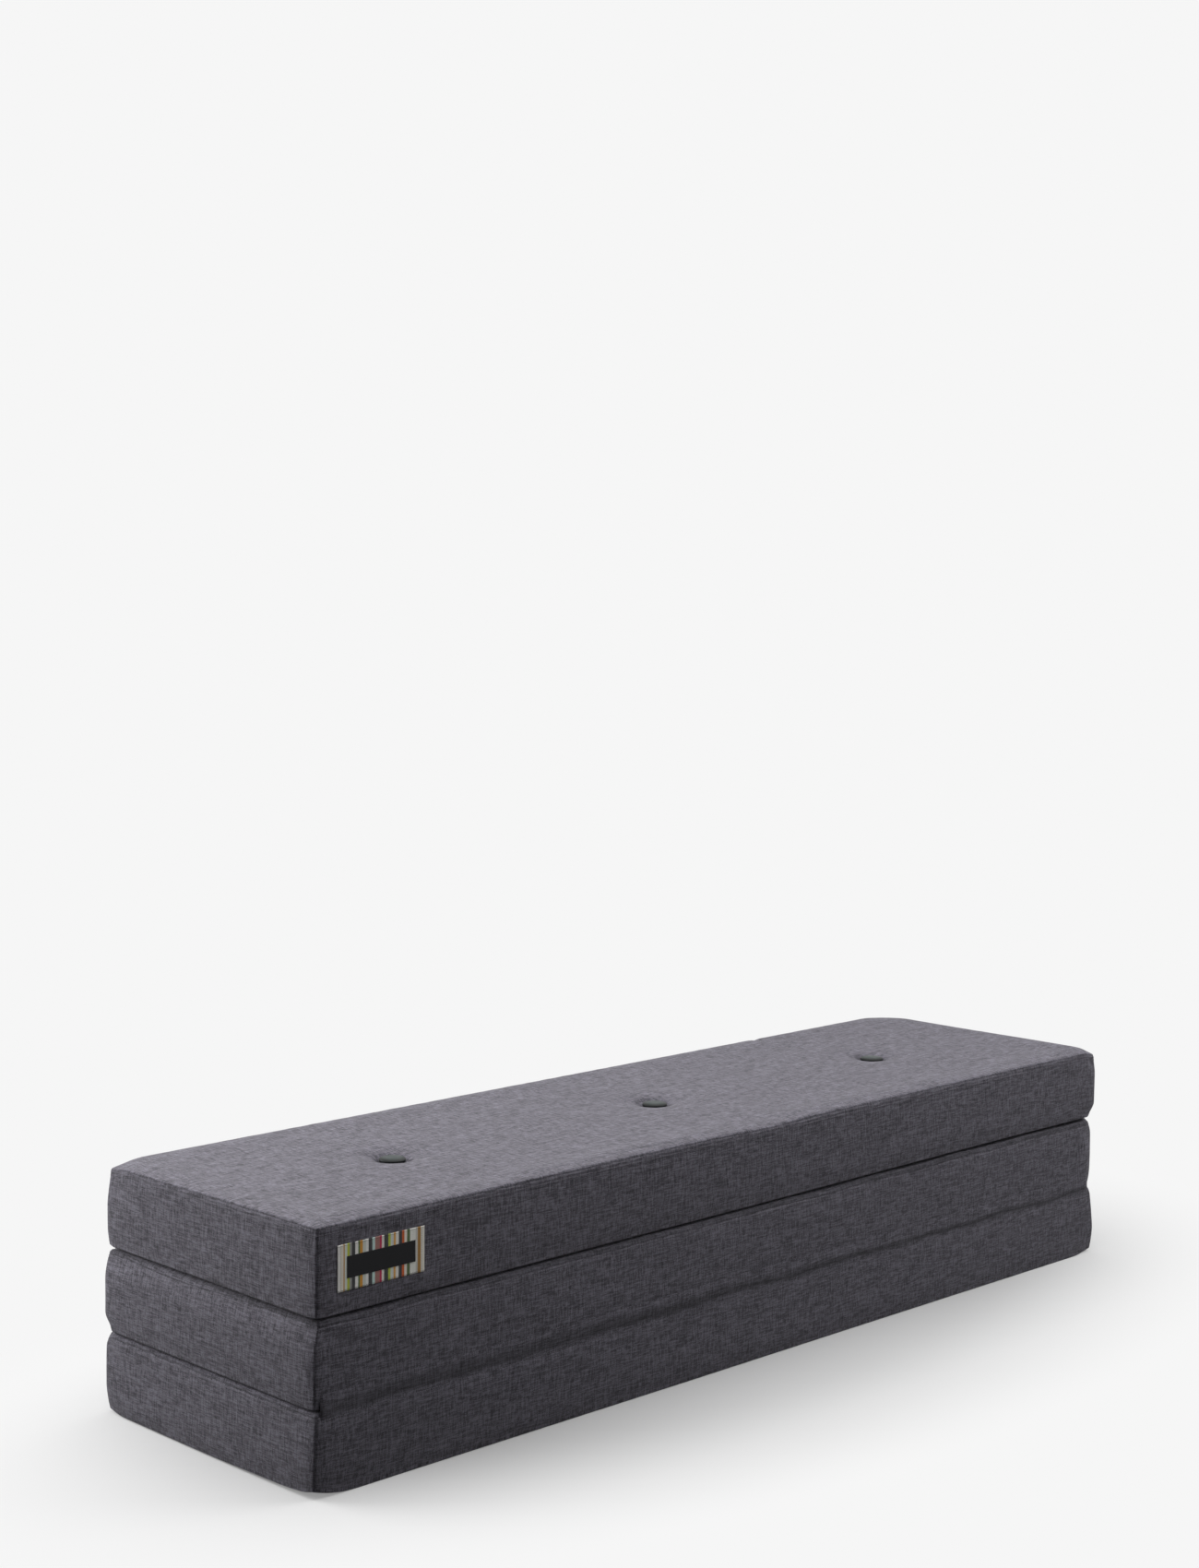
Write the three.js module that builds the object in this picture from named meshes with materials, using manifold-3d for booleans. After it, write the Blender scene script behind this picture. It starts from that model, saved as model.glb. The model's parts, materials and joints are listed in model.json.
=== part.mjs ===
// A folding mattress: three foam sections in sewn covers, hinged at their edges and stacked as a Z.
// Lengths are in millimetres. X runs along the sections, Y across them, and Z is up.
// The long side with the label looks to -Y, and the covers' zips close the ends at +X.

import * as THREE from 'three';
import { mergeVertices } from 'three/addons/utils/BufferGeometryUtils.js';
import Module from 'manifold-3d';

const wasm = await Module();
wasm.setup();

// One section
const length = 1800;
const width = 500;
const height = 123;
const cornerRadius = 9; // upright corners
const upperEdge = 6;
const lowerEdge = 11;
const leastRadius = 1; // where a deep inset would leave no corner
const sideDraw = 2; // the long sides draw in between the corners
const sideSwell = 1.2; // the walls stand proud of the edges above and below
const crown = 4; // rise of the open face of the top section
const fabric = 1.2;
const clearance = 0.3;
const sectionGap = 0.8; // between two folded sections
const overrun = 3; // how far a cutter runs past what it cuts

// Steps of the curves
const cornerSteps = 3;
const edgeSteps = 3;
const sideStations = 3;
const proudShares = [0.3, 0.7]; // the wall is upright between these shares of the height
const crownShares = [[0.09, 0.62], [0.25, 1]]; // shares of the width inwards, and of the crown upwards

// Cover seams
const seamDrop = 7; // from the upper face down to the seam round the lower sections
const topSeamDrop = 4; // the same on the top section
const hemWidth = 16; // what the walls turn in under the section

// Tufts
const tuftSpacing = 560;
const tuftCount = 3;
const buttonRadius = 19.5;
const buttonThickness = 8.5;
const buttonSink = 1; // from the face down to the top of the button
const buttonRim = 2.5; // height of the widest line above the button's underside
const buttonFootShare = 0.8;
const socketDepth = 5;
const dimpleMouth = 37;
const anchorRadius = 13;
const anchorThickness = 3;
const anchorSink = 1;
const anchorMouth = 24;
const tieRadius = 1.5;
const buttonDimpleShares = [[0, 1], [0.28, 0.78], [0.64, 0.3], [1, 0]]; // outwards, and down
const anchorDimpleShares = [[0, 1], [1, 0]];
const tuftSegments = 16;
const tieSegments = 8;

// Zip
const tapeWidth = 22;
const chainWidth = 5;
const chainProud = 1;
const chainInset = 18; // from the corner of the section to the end of the chain
const sliderLength = 11;
const sliderWidth = 9.5;
const sliderThickness = 2.4;
const sliderShares = [[-1, 0.6], [-0.1, 0.68], [0.45, 1], [0.8, 1], [1, 0.78]]; // along, and across
const sliderRest = 8; // from the end of the chain to the closed slider
const barRadius = 0.6;
const postWidth = 1.2;
const eyeWidth = 4;
const eyeWall = 0.6;
const pullLength = 24;
const pullWidth = 7;
const pullThickness = 1;
const roundSegments = 12;

// Label
const ribbonLength = 152;
const ribbonWidth = 64;
const ribbonThickness = 0.5;
const ribbonInset = 35; // from the corner of the section
const ribbonRise = 31; // from the underside of the top section
const plateLength = 120;
const plateWidth = 30;
const plateThickness = 0.4;

// Hinge seam
const foldReach = 0.4; // from the wall out to the fold line
const creaseDepth = 2; // the seam lies this far behind the wall
const seamSteps = 3;
const seamStartAngle = Math.PI / 9;

const finishes = {
  weave: new THREE.MeshStandardMaterial({ color: '#57545c', roughness: 0.95, metalness: 0 }),
  foam: new THREE.MeshStandardMaterial({ color: '#e9e2c8', roughness: 0.9, metalness: 0 }),
  button: new THREE.MeshStandardMaterial({ color: '#4a5354', roughness: 0.6, metalness: 0 }),
  nylon: new THREE.MeshStandardMaterial({ color: '#3b3a3f', roughness: 0.5, metalness: 0 }),
  zipTape: new THREE.MeshStandardMaterial({ color: '#2f2e33', roughness: 0.85, metalness: 0 }),
  zipMetal: new THREE.MeshStandardMaterial({ color: '#3a3a3e', roughness: 0.35, metalness: 0.8 }),
  ribbon: new THREE.MeshStandardMaterial({ color: '#cfc8b0', roughness: 0.7, metalness: 0 }),
  plate: new THREE.MeshStandardMaterial({ color: '#131315', roughness: 0.45, metalness: 0 }),
};

// Solids
function solidOf(geometry) {
  const bare = geometry.clone();
  bare.deleteAttribute('normal');
  bare.deleteAttribute('uv');
  const merged = mergeVertices(bare);
  const index = merged.index.array;
  const triangles = [];
  for (let at = 0; at < index.length; at += 3) {
    const [a, b, c] = [index[at], index[at + 1], index[at + 2]];
    if (a !== b && b !== c && c !== a) triangles.push(a, b, c);
  }
  return new wasm.Manifold(new wasm.Mesh({
    numProp: 3,
    vertProperties: new Float32Array(merged.attributes.position.array),
    triVerts: new Uint32Array(triangles),
  }));
}

function addPiece(group, name, solid, material) {
  const { vertProperties, triVerts } = solid.getMesh();
  const geometry = new THREE.BufferGeometry();
  geometry.setAttribute('position', new THREE.BufferAttribute(vertProperties, 3));
  geometry.setIndex(new THREE.BufferAttribute(triVerts, 1));
  geometry.computeVertexNormals();
  const mesh = new THREE.Mesh(geometry, material);
  mesh.name = name;
  group.add(mesh);
  return mesh;
}

function block(low, high) {
  const size = high.map((value, axis) => value - low[axis]);
  const middle = high.map((value, axis) => (value + low[axis]) / 2);
  return solidOf(new THREE.BoxGeometry(...size).translate(...middle));
}

// A profile of [radius, height] pairs turned round the Z axis, from its lowest point outwards and up
function turned(profile, segments) {
  const points = profile.map(([radius, z]) => new THREE.Vector2(radius, z));
  return solidOf(new THREE.LatheGeometry(points, segments).rotateX(Math.PI / 2));
}

// An outline in plan raised from one height to another
function raised(outline, low, high) {
  const shape = new THREE.Shape(outline.map(([x, y]) => new THREE.Vector2(x, y)));
  const geometry = new THREE.ExtrudeGeometry(shape, { depth: high - low, bevelEnabled: false });
  return solidOf(geometry.translate(0, 0, low));
}

// One level of a section: a rounded rectangle whose long sides draw in between the corners
function sectionOutline(inset) {
  const halfLength = length / 2 - inset;
  const halfWidth = width / 2 - inset;
  const radius = Math.max(cornerRadius - inset, leastRadius);
  const points = [];
  for (let corner = 0; corner < 4; corner += 1) {
    const signX = corner === 0 || corner === 3 ? 1 : -1;
    const signY = corner < 2 ? 1 : -1;
    for (let step = 0; step <= cornerSteps; step += 1) {
      const angle = (corner + step / cornerSteps) * Math.PI / 2;
      points.push([
        signX * (halfLength - radius) + radius * Math.cos(angle),
        signY * (halfWidth - radius) + radius * Math.sin(angle),
      ]);
    }
    const longSide = corner % 2 === 0;
    for (let station = 1; longSide && station <= sideStations; station += 1) {
      const along = 1 - 2 * station / (sideStations + 1);
      points.push([signX * along * (halfLength - radius), signY * halfWidth]);
    }
  }
  return points.map(([x, y]) => [x, y - Math.sign(y) * sideDraw * (1 - (2 * x / length) ** 2)]);
}

// The levels of a section from its underside up, each with its inset and its height
function sectionLevels(inset, rise) {
  const lower = lowerEdge - inset;
  const upper = upperEdge - inset;
  const levels = [];
  for (let step = 0; step <= edgeSteps; step += 1) {
    const angle = step / edgeSteps * Math.PI / 2;
    levels.push([inset + sideSwell + lower * (1 - Math.sin(angle)), inset + lower * (1 - Math.cos(angle))]);
  }
  for (const share of proudShares) levels.push([inset, height * share]);
  for (let step = 0; step <= edgeSteps; step += 1) {
    const angle = step / edgeSteps * Math.PI / 2;
    levels.push([
      inset + sideSwell + upper * (1 - Math.cos(angle)),
      height - inset - upper * (1 - Math.sin(angle)),
    ]);
  }
  if (rise > 0) {
    for (const [inShare, riseShare] of crownShares) {
      levels.push([sideSwell + upperEdge + width * inShare, height - inset + rise * riseShare]);
    }
  }
  return levels;
}

// The closed form of a section, as far inside its outer face as the inset says
function sectionForm(inset, rise) {
  const levels = sectionLevels(inset, rise);
  const positions = [];
  for (const [levelInset, z] of levels) {
    for (const [x, y] of sectionOutline(levelInset)) positions.push(x, y, z);
  }
  const count = positions.length / 3 / levels.length;
  const index = [];
  for (let level = 0; level < levels.length - 1; level += 1) {
    for (let point = 0; point < count; point += 1) {
      const a = level * count + point;
      const b = level * count + (point + 1) % count;
      index.push(a, b, b + count, a, b + count, a + count);
    }
  }
  const lowCentre = positions.length / 3;
  const highCentre = lowCentre + 1;
  positions.push(0, 0, levels[0][1], 0, 0, levels.at(-1)[1]);
  const lastLevel = (levels.length - 1) * count;
  for (let point = 0; point < count; point += 1) {
    const next = (point + 1) % count;
    index.push(lowCentre, next, point, highCentre, lastLevel + point, lastLevel + next);
  }
  const geometry = new THREE.BufferGeometry();
  geometry.setAttribute('position', new THREE.Float32BufferAttribute(positions, 3));
  geometry.setIndex(index);
  return solidOf(geometry);
}

// Tufts are drawn with the button's face up, and a section whose buttons look down turns them over
const buttonFloor = buttonSink + buttonThickness + clearance;
const anchorFloor = anchorSink + anchorThickness + clearance;
const tuftPlaces = Array.from({ length: tuftCount }, (_, at) => (at - (tuftCount - 1) / 2) * tuftSpacing);

function turnOver(solid, section) {
  if (section.buttonsUp) return solid;
  return solid.rotate([180, 0, 0]).translate([0, 0, height]);
}

function dimple(shares, floorRadius, mouthRadius, depth, inset) {
  const profile = shares.map(([outShare, downShare]) => [
    floorRadius + inset + (mouthRadius - floorRadius) * outShare,
    -depth * downShare - inset,
  ]);
  profile.push([mouthRadius + inset + overrun, overrun]);
  return turned([[0, -depth - inset], ...profile, [0, overrun]], tuftSegments);
}

function tuftCutters(section, inset) {
  const face = height + section.rise;
  const buttonSeat = buttonRadius + clearance;
  const anchorSeat = anchorRadius + clearance;
  const front = dimple(buttonDimpleShares, buttonSeat, dimpleMouth, buttonFloor, inset).translate([0, 0, face]);
  const back = dimple(anchorDimpleShares, anchorSeat, anchorMouth, anchorFloor, inset).rotate([180, 0, 0]);
  const one = turnOver(front.add(back), section);
  return tuftPlaces.map((x) => one.translate([x, 0, 0])).reduce((all, next) => all.add(next));
}

function tieCutters() {
  const one = raised(circle(tieRadius + clearance, tieSegments), -overrun, height + crown + overrun);
  return tuftPlaces.map((x) => one.translate([x, 0, 0])).reduce((all, next) => all.add(next));
}

function circle(radius, segments) {
  return Array.from({ length: segments }, (_, at) => [
    radius * Math.cos(2 * Math.PI * at / segments),
    radius * Math.sin(2 * Math.PI * at / segments),
  ]);
}

// A domed button whose underside takes the end of the tie
function button(section) {
  const foot = height + section.rise - buttonSink - buttonThickness;
  const dome = buttonThickness - buttonRim;
  const profile = [
    [0, foot + socketDepth],
    [tieRadius + clearance, foot + socketDepth],
    [tieRadius + clearance, foot],
    [buttonRadius * buttonFootShare, foot],
  ];
  for (let step = 0; step <= edgeSteps + 1; step += 1) {
    const angle = step / (edgeSteps + 1) * Math.PI / 2;
    profile.push([buttonRadius * Math.cos(angle), foot + buttonRim + dome * Math.sin(angle)]);
  }
  profile.at(-1)[0] = 0;
  return turnOver(turned(profile, tuftSegments), section);
}

// The disc that holds the tuft at the other face, with its tie
function anchor(section) {
  const tieEnd = height + section.rise - buttonSink - buttonThickness + socketDepth - clearance;
  const profile = [
    [0, anchorSink],
    [anchorRadius, anchorSink],
    [anchorRadius, anchorSink + anchorThickness],
    [tieRadius, anchorSink + anchorThickness],
    [tieRadius, tieEnd],
    [0, tieEnd],
  ];
  return turnOver(turned(profile, roundSegments), section);
}

// The part of the cover that one wall owns in plan, mitred at 45 degrees through the upright corners
function wallPrism(halfLong, halfShort, quarterTurns) {
  const mitre = clearance / Math.SQRT2;
  const depth = hemWidth + overrun;
  const outline = [
    [-halfLong - overrun + mitre, -halfShort - overrun],
    [halfLong + overrun - mitre, -halfShort - overrun],
    [halfLong - depth - mitre, -halfShort + depth],
    [-halfLong + depth + mitre, -halfShort + depth],
  ];
  return raised(outline, -overrun, height).rotate([0, 0, quarterTurns * 90]);
}

function addCover(group, section) {
  const outer = sectionForm(0, section.rise).subtract(tuftCutters(section, 0));
  const inner = sectionForm(fabric, section.rise).subtract(tuftCutters(section, fabric));
  const cover = outer.subtract(inner).subtract(tieCutters());
  const x = length / 2 + overrun;
  const y = width / 2 + overrun;
  const seam = height - section.seamDrop;
  const above = block([-x, -y, seam], [x, y, height + crown + overrun]);
  addPiece(group, `${section.name}_upper_panel`, cover.intersect(above), finishes.weave);

  const hemX = length / 2 - hemWidth;
  const hemY = width / 2 - hemWidth;
  const under = block([-hemX, -hemY, -overrun], [hemX, hemY, height / 2]);
  addPiece(group, `${section.name}_lower_panel`, cover.intersect(under), finishes.weave);

  const hemCut = block(
    [-hemX - clearance, -hemY - clearance, -overrun],
    [hemX + clearance, hemY + clearance, height / 2],
  );
  const below = block([-x, -y, -overrun], [x, y, seam - clearance]);
  const walls = cover.intersect(below).subtract(hemCut);
  const front = wallPrism(length / 2, width / 2, 0);
  const right = wallPrism(width / 2, length / 2, 1);
  const back = wallPrism(length / 2, width / 2, 2);
  const left = wallPrism(width / 2, length / 2, 3);
  addPiece(group, `${section.name}_front_side`, walls.intersect(front), finishes.weave);
  addPiece(group, `${section.name}_back_side`, walls.intersect(back), finishes.weave);
  addPiece(group, `${section.name}_left_end`, walls.intersect(left), finishes.weave);

  const zipEnd = walls.intersect(right);
  const tapeLow = (height - tapeWidth) / 2;
  const tapeHigh = (height + tapeWidth) / 2;
  const overTape = block([0, -y, tapeHigh], [x, y, height]);
  const underTape = block([0, -y, -overrun], [x, y, tapeLow]);
  addPiece(group, `${section.name}_right_end_upper`, zipEnd.intersect(overTape), finishes.weave);
  addPiece(group, `${section.name}_right_end_lower`, zipEnd.intersect(underTape), finishes.weave);

  const tapeBand = block([0, -y, tapeLow + clearance], [x, y, tapeHigh - clearance]);
  const chainEnd = width / 2 - chainInset;
  const chainBand = block(
    [length / 2 - fabric, -chainEnd, (height - chainWidth) / 2],
    [length / 2 + chainProud, chainEnd, (height + chainWidth) / 2],
  );
  const tape = zipEnd.intersect(tapeBand).add(chainBand);
  addPiece(group, `${section.name}_zip_tape`, tape, finishes.zipTape);
}

function addFilling(group, section) {
  const inset = fabric + clearance;
  const foam = sectionForm(inset, section.rise).subtract(tuftCutters(section, inset)).subtract(tieCutters());
  addPiece(group, `${section.name}_foam_core`, foam, finishes.foam);
  tuftPlaces.forEach((x, at) => {
    addPiece(group, `${section.name}_button_${at + 1}`, button(section).translate([x, 0, 0]), finishes.button);
    addPiece(group, `${section.name}_anchor_${at + 1}`, anchor(section).translate([x, 0, 0]), finishes.nylon);
  });
}

// The zip's slider rides over the chain and carries a bar, on which the pull swings
const sliderFoot = length / 2 + clearance;
const sliderFace = sliderFoot + sliderThickness;
const eyeRadius = barRadius + clearance + eyeWall;
const barX = sliderFace + clearance + eyeRadius;
const zipLevel = height / 2;

// A round bar along Y through the pull's pivot
function acrossBar(radius, halfWidth) {
  const geometry = new THREE.CylinderGeometry(radius, radius, 2 * halfWidth, roundSegments);
  return solidOf(geometry).translate([barX, 0, zipLevel]);
}

function slider() {
  const half = sliderShares.map(([alongShare, acrossShare]) => [
    alongShare * sliderLength / 2,
    acrossShare * sliderWidth / 2,
  ]);
  const outline = [...half.map(([along, across]) => [along, -across]), ...half.toReversed()];
  const plate = raised(outline, 0, sliderThickness).rotate([90, 0, 90]).translate([sliderFoot, 0, zipLevel]);
  const channel = block(
    [length / 2, -sliderLength, zipLevel - chainWidth / 2 - clearance],
    [length / 2 + chainProud + clearance, sliderLength, zipLevel + chainWidth / 2 + clearance],
  );
  const postInner = eyeWidth / 2 + clearance;
  const post = block(
    [sliderFace - fabric, postInner, zipLevel - postWidth / 2],
    [barX + barRadius, postInner + postWidth, zipLevel + postWidth / 2],
  );
  const bar = acrossBar(barRadius, postInner + postWidth / 2);
  return plate.subtract(channel).add(post).add(post.mirror([0, 1, 0])).add(bar);
}

function pull() {
  const neck = postWidth / 2 + 2 * clearance + eyeRadius;
  const shoulder = pullWidth / 2;
  const outline = [
    [-eyeWidth / 2, 0],
    [-eyeWidth / 2, -neck],
    [-shoulder, -neck - (shoulder - eyeWidth / 2)],
  ];
  for (let step = 0; step <= roundSegments / 2; step += 1) {
    const angle = Math.PI + step / (roundSegments / 2) * Math.PI;
    outline.push([shoulder * Math.cos(angle), shoulder - pullLength + shoulder * Math.sin(angle)]);
  }
  outline.push([shoulder, -neck - (shoulder - eyeWidth / 2)], [eyeWidth / 2, -neck], [eyeWidth / 2, 0]);
  const tab = raised(outline, -pullThickness / 2, pullThickness / 2)
    .rotate([90, 0, 90])
    .translate([barX, 0, zipLevel]);
  return tab.add(acrossBar(eyeRadius, eyeWidth / 2)).subtract(acrossBar(barRadius + clearance, eyeWidth));
}

function addZip(group, section) {
  const start = -(width / 2 - chainInset - sliderRest);
  addPiece(group, `${section.name}_zip_slider`, slider().translate([0, start, 0]), finishes.zipMetal);
  addPiece(group, `${section.name}_zip_pull`, pull().translate([0, start, 0]), finishes.zipMetal);
}

// The label lies on the front wall: a woven ribbon with a bare plate on it
function onWall(rise, gap, thickness, low, high) {
  const skin = sectionForm(-gap - thickness, rise).subtract(sectionForm(-gap, rise));
  const reach = width / 2 + gap + thickness;
  return skin.intersect(block([low[0], -reach, low[1]], [high[0], -reach + hemWidth, high[1]]));
}

function addLabel(group, section) {
  const x = -length / 2 + ribbonInset;
  const low = [x, ribbonRise];
  const high = [x + ribbonLength, ribbonRise + ribbonWidth];
  const ribbon = onWall(section.rise, clearance, ribbonThickness, low, high);
  addPiece(group, 'label_ribbon', ribbon, finishes.ribbon);
  const middle = [(low[0] + high[0]) / 2, (low[1] + high[1]) / 2];
  const plateLow = [middle[0] - plateLength / 2, middle[1] - plateWidth / 2];
  const plateHigh = [middle[0] + plateLength / 2, middle[1] + plateWidth / 2];
  const lift = clearance + ribbonThickness + clearance;
  const plate = onWall(section.rise, lift, plateThickness, plateLow, plateHigh);
  addPiece(group, 'label_plate', plate, finishes.plate);
}

// The sewn seam in a crease. Its outline is drawn inwards and up from the fold line. It fills the
// crease from 45 degrees of each edge inwards, and past that keeps inside the sweep of the edges.
function seamOutline() {
  const face = foldReach + creaseDepth;
  const side = (edgeRadius, sign) => {
    const centre = [foldReach + sideSwell + edgeRadius, sectionGap / 2 + edgeRadius];
    const lastAngle = Math.atan2(centre[0], centre[1]);
    const points = [];
    for (let step = 0; step <= seamSteps; step += 1) {
      const angle = seamStartAngle + (lastAngle - seamStartAngle) * step / seamSteps;
      const reach = edgeRadius + clearance;
      points.push([centre[0] - reach * Math.sin(angle), sign * (centre[1] - reach * Math.cos(angle))]);
    }
    const sweep = Math.hypot(...centre) - edgeRadius - clearance;
    const kept = points.filter(([inward]) => inward > face);
    kept.push([face, sign * Math.sqrt(sweep ** 2 - face ** 2)]);
    return kept;
  };
  return [...side(upperEdge, -1).toReversed(), ...side(lowerEdge, 1)].toReversed();
}

function addHingeSeam(group, name, quarterTurns) {
  const halfLength = length / 2 - cornerRadius;
  const seam = raised(seamOutline(), -halfLength, halfLength)
    .rotate([90, 0, 90])
    .translate([0, -width / 2 - foldReach, height + sectionGap / 2])
    .rotate([0, 0, quarterTurns * 90]);
  addPiece(group, name, seam, finishes.weave);
}

const mattress = new THREE.Group();
const sections = [
  { name: 'bottom', buttonsUp: true, rise: 0, seamDrop },
  { name: 'middle', buttonsUp: false, rise: 0, seamDrop },
  { name: 'top', buttonsUp: true, rise: crown, seamDrop: topSeamDrop },
];
sections.forEach((section, at) => {
  const group = new THREE.Group();
  group.position.z = at * (height + sectionGap);
  addFilling(group, section);
  addCover(group, section);
  addZip(group, section);
  if (section.name === 'top') addLabel(group, section);
  if (section.name === 'bottom') addHingeSeam(group, 'front_hinge_seam', 0);
  if (section.name === 'middle') addHingeSeam(group, 'back_hinge_seam', 2);
  mattress.add(group);
});

// The origin is the middle of the whole mattress, at the floor
const bounds = new THREE.Box3().setFromObject(mattress);
const middle = bounds.getCenter(new THREE.Vector3());
mattress.position.set(-middle.x, -middle.y, -bounds.min.z);

export default mattress;
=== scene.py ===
import json
import math

import bmesh
import bpy
import numpy as np
from mathutils import Matrix, Vector
from mathutils.bvhtree import BVHTree


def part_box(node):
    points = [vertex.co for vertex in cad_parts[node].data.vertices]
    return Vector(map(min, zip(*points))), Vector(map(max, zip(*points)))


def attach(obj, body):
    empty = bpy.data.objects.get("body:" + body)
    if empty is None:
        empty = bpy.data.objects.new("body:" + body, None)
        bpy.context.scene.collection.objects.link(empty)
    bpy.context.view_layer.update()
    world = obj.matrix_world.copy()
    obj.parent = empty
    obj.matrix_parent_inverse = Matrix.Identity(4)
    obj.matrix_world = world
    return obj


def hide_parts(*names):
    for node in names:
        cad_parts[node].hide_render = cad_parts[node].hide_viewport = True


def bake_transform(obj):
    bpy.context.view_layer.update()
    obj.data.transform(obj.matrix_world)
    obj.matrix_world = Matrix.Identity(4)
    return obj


# A folding mattress: three tufted foam cushions in woven covers, stacked as a Z.
# Shapes are worked out in millimetres and put in place in metres.
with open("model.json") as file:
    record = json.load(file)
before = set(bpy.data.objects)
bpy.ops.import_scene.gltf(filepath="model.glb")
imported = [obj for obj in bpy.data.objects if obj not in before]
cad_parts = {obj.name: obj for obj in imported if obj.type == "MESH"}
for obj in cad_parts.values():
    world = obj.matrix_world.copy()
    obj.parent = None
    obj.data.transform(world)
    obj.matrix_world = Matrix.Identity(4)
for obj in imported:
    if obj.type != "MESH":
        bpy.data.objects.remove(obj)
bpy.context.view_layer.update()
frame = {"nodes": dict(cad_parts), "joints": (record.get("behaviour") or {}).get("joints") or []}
scene = bpy.context.scene
joints = {joint["name"]: joint for joint in frame["joints"]}
print("frame loaded:", len(frame["nodes"]), "nodes")


# Small helpers

def mm(value):
    return np.asarray(value, float) / 1000


def paint(code):
    # sRGB hex to the linear colour that a node takes
    shares = [int(code[at:at + 2], 16) / 255 for at in (1, 3, 5)]
    return (*[s / 12.92 if s <= 0.04045 else ((s + 0.055) / 1.055) ** 2.4 for s in shares], 1)


def addNode(tree, kind, inputs=None, **settings):
    # inputs maps a socket's name or number to a value or to the socket that feeds it
    node = tree.nodes.new(kind)
    for name, value in settings.items():
        setattr(node, name, value)
    for name, value in (inputs or {}).items():
        if isinstance(value, bpy.types.NodeSocket):
            tree.links.new(value, node.inputs[name])
        else:
            node.inputs[name].default_value = value
    return node


# Each of the next few adds one node and returns the socket that holds its result

def calculate(tree, operation, *values):
    return addNode(tree, "ShaderNodeMath", dict(enumerate(values)), operation=operation).outputs[0]


def scaled(tree, vector, scale):
    return addNode(tree, "ShaderNodeVectorMath", {0: vector, "Scale": scale}, operation="SCALE").outputs[0]


def combined(tree, x, y, z):
    return addNode(tree, "ShaderNodeCombineXYZ", {"X": x, "Y": y, "Z": z}).outputs[0]


def noise(tree, place, scale, detail, roughness=0.5):
    inputs = {"Vector": place, "Scale": scale, "Detail": detail, "Roughness": roughness}
    return addNode(tree, "ShaderNodeTexNoise", inputs).outputs["Fac"]


def mapped(tree, value, old, new):
    inputs = {"Value": value, "From Min": old[0], "From Max": old[1], "To Min": new[0], "To Max": new[1]}
    return addNode(tree, "ShaderNodeMapRange", inputs).outputs[0]


def bumped(tree, height, strength, distance, **more):
    inputs = {"Height": height, "Strength": strength, "Distance": distance, **more}
    return addNode(tree, "ShaderNodeBump", inputs).outputs[0]


def attributeOf(tree, name):
    return addNode(tree, "ShaderNodeAttribute", attribute_name=name).outputs["Fac"]


def clothMap(tree):
    return addNode(tree, "ShaderNodeUVMap", uv_map="cloth").outputs[0]


def objectPlace(tree):
    return addNode(tree, "ShaderNodeTexCoord").outputs["Object"]


def splitPlace(tree, place):
    # a place's two sockets, along the cloth's two directions
    parts = addNode(tree, "ShaderNodeSeparateXYZ", {0: place})
    return parts.outputs["X"], parts.outputs["Y"]


def smooth(share):
    share = np.clip(share, 0, 1)
    return share * share * (3 - 2 * share)


def hump(distance, reach):
    return np.exp(-(distance / reach) ** 2)


def ripple(seed, size, *at):
    # soft seeded waves between about -1 and 1, whose humps are about one size across
    source = np.random.default_rng(seed)
    total = 0
    for _ in range(9):
        heading = source.normal(size=len(at))
        heading *= source.uniform(0.6, 1.3) * math.pi / size / max(np.linalg.norm(heading), 1e-6)
        total = total + np.sin(sum(h * a for h, a in zip(heading, at)) + source.uniform(0, 2 * math.pi))
    return total / 4


def addObject(name, data):
    made = bpy.data.objects.new(name, data)
    scene.collection.objects.link(made)
    return made


def meshObject(name, points, faces, edges=()):
    mesh = bpy.data.meshes.new(name)
    mesh.from_pydata(np.asarray(points).tolist(), list(edges), list(faces))
    return addObject(name, mesh)


def vectorsOf(items, field):
    flat = np.empty(len(items) * 3, np.float32)
    items.foreach_get(field, flat)
    return flat.reshape(-1, 3).astype(float)


def pointsOf(mesh):
    return vectorsOf(mesh.vertices, "co")


def movePoints(mesh, points):
    mesh.vertices.foreach_set("co", np.asarray(points, np.float32).ravel())
    mesh.update()


def addAttribute(mesh, name, values, kind="FLOAT"):
    # one number or vector for each point
    made = mesh.attributes.new(name, kind, "POINT")
    made.data.foreach_set("value" if kind == "FLOAT" else "vector", np.asarray(values, np.float32).ravel())


def mapCloth(mesh, places):
    # where each corner of a face lies on its cloth, in millimetres
    layer = mesh.uv_layers.new(name="cloth")
    layer.uv.foreach_set("vector", mm(places).astype(np.float32).ravel())


def evaluatedMesh(made):
    return bpy.data.meshes.new_from_object(made.evaluated_get(bpy.context.evaluated_depsgraph_get()))


def bakeModifiers(piece):
    made, old = evaluatedMesh(piece), piece.data
    piece.modifiers.clear()
    piece.data = made
    bpy.data.meshes.remove(old)
    made.name = piece.name


def finish(piece, material, smoothly=True):
    piece.data.materials.clear()
    piece.data.materials.append(material)
    piece.data.polygons.foreach_set("use_smooth", [smoothly] * len(piece.data.polygons))
    piece.data.update()
    return piece


def weld(meshes, into, distance):
    # joins meshes, welds points that are nearer than distance and turns all faces outwards
    shell = bmesh.new()
    for mesh in meshes:
        shell.from_mesh(mesh)
    bmesh.ops.remove_doubles(shell, verts=shell.verts, dist=distance)
    bmesh.ops.recalc_face_normals(shell, faces=shell.faces)
    shell.to_mesh(into)
    shell.free()


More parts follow.
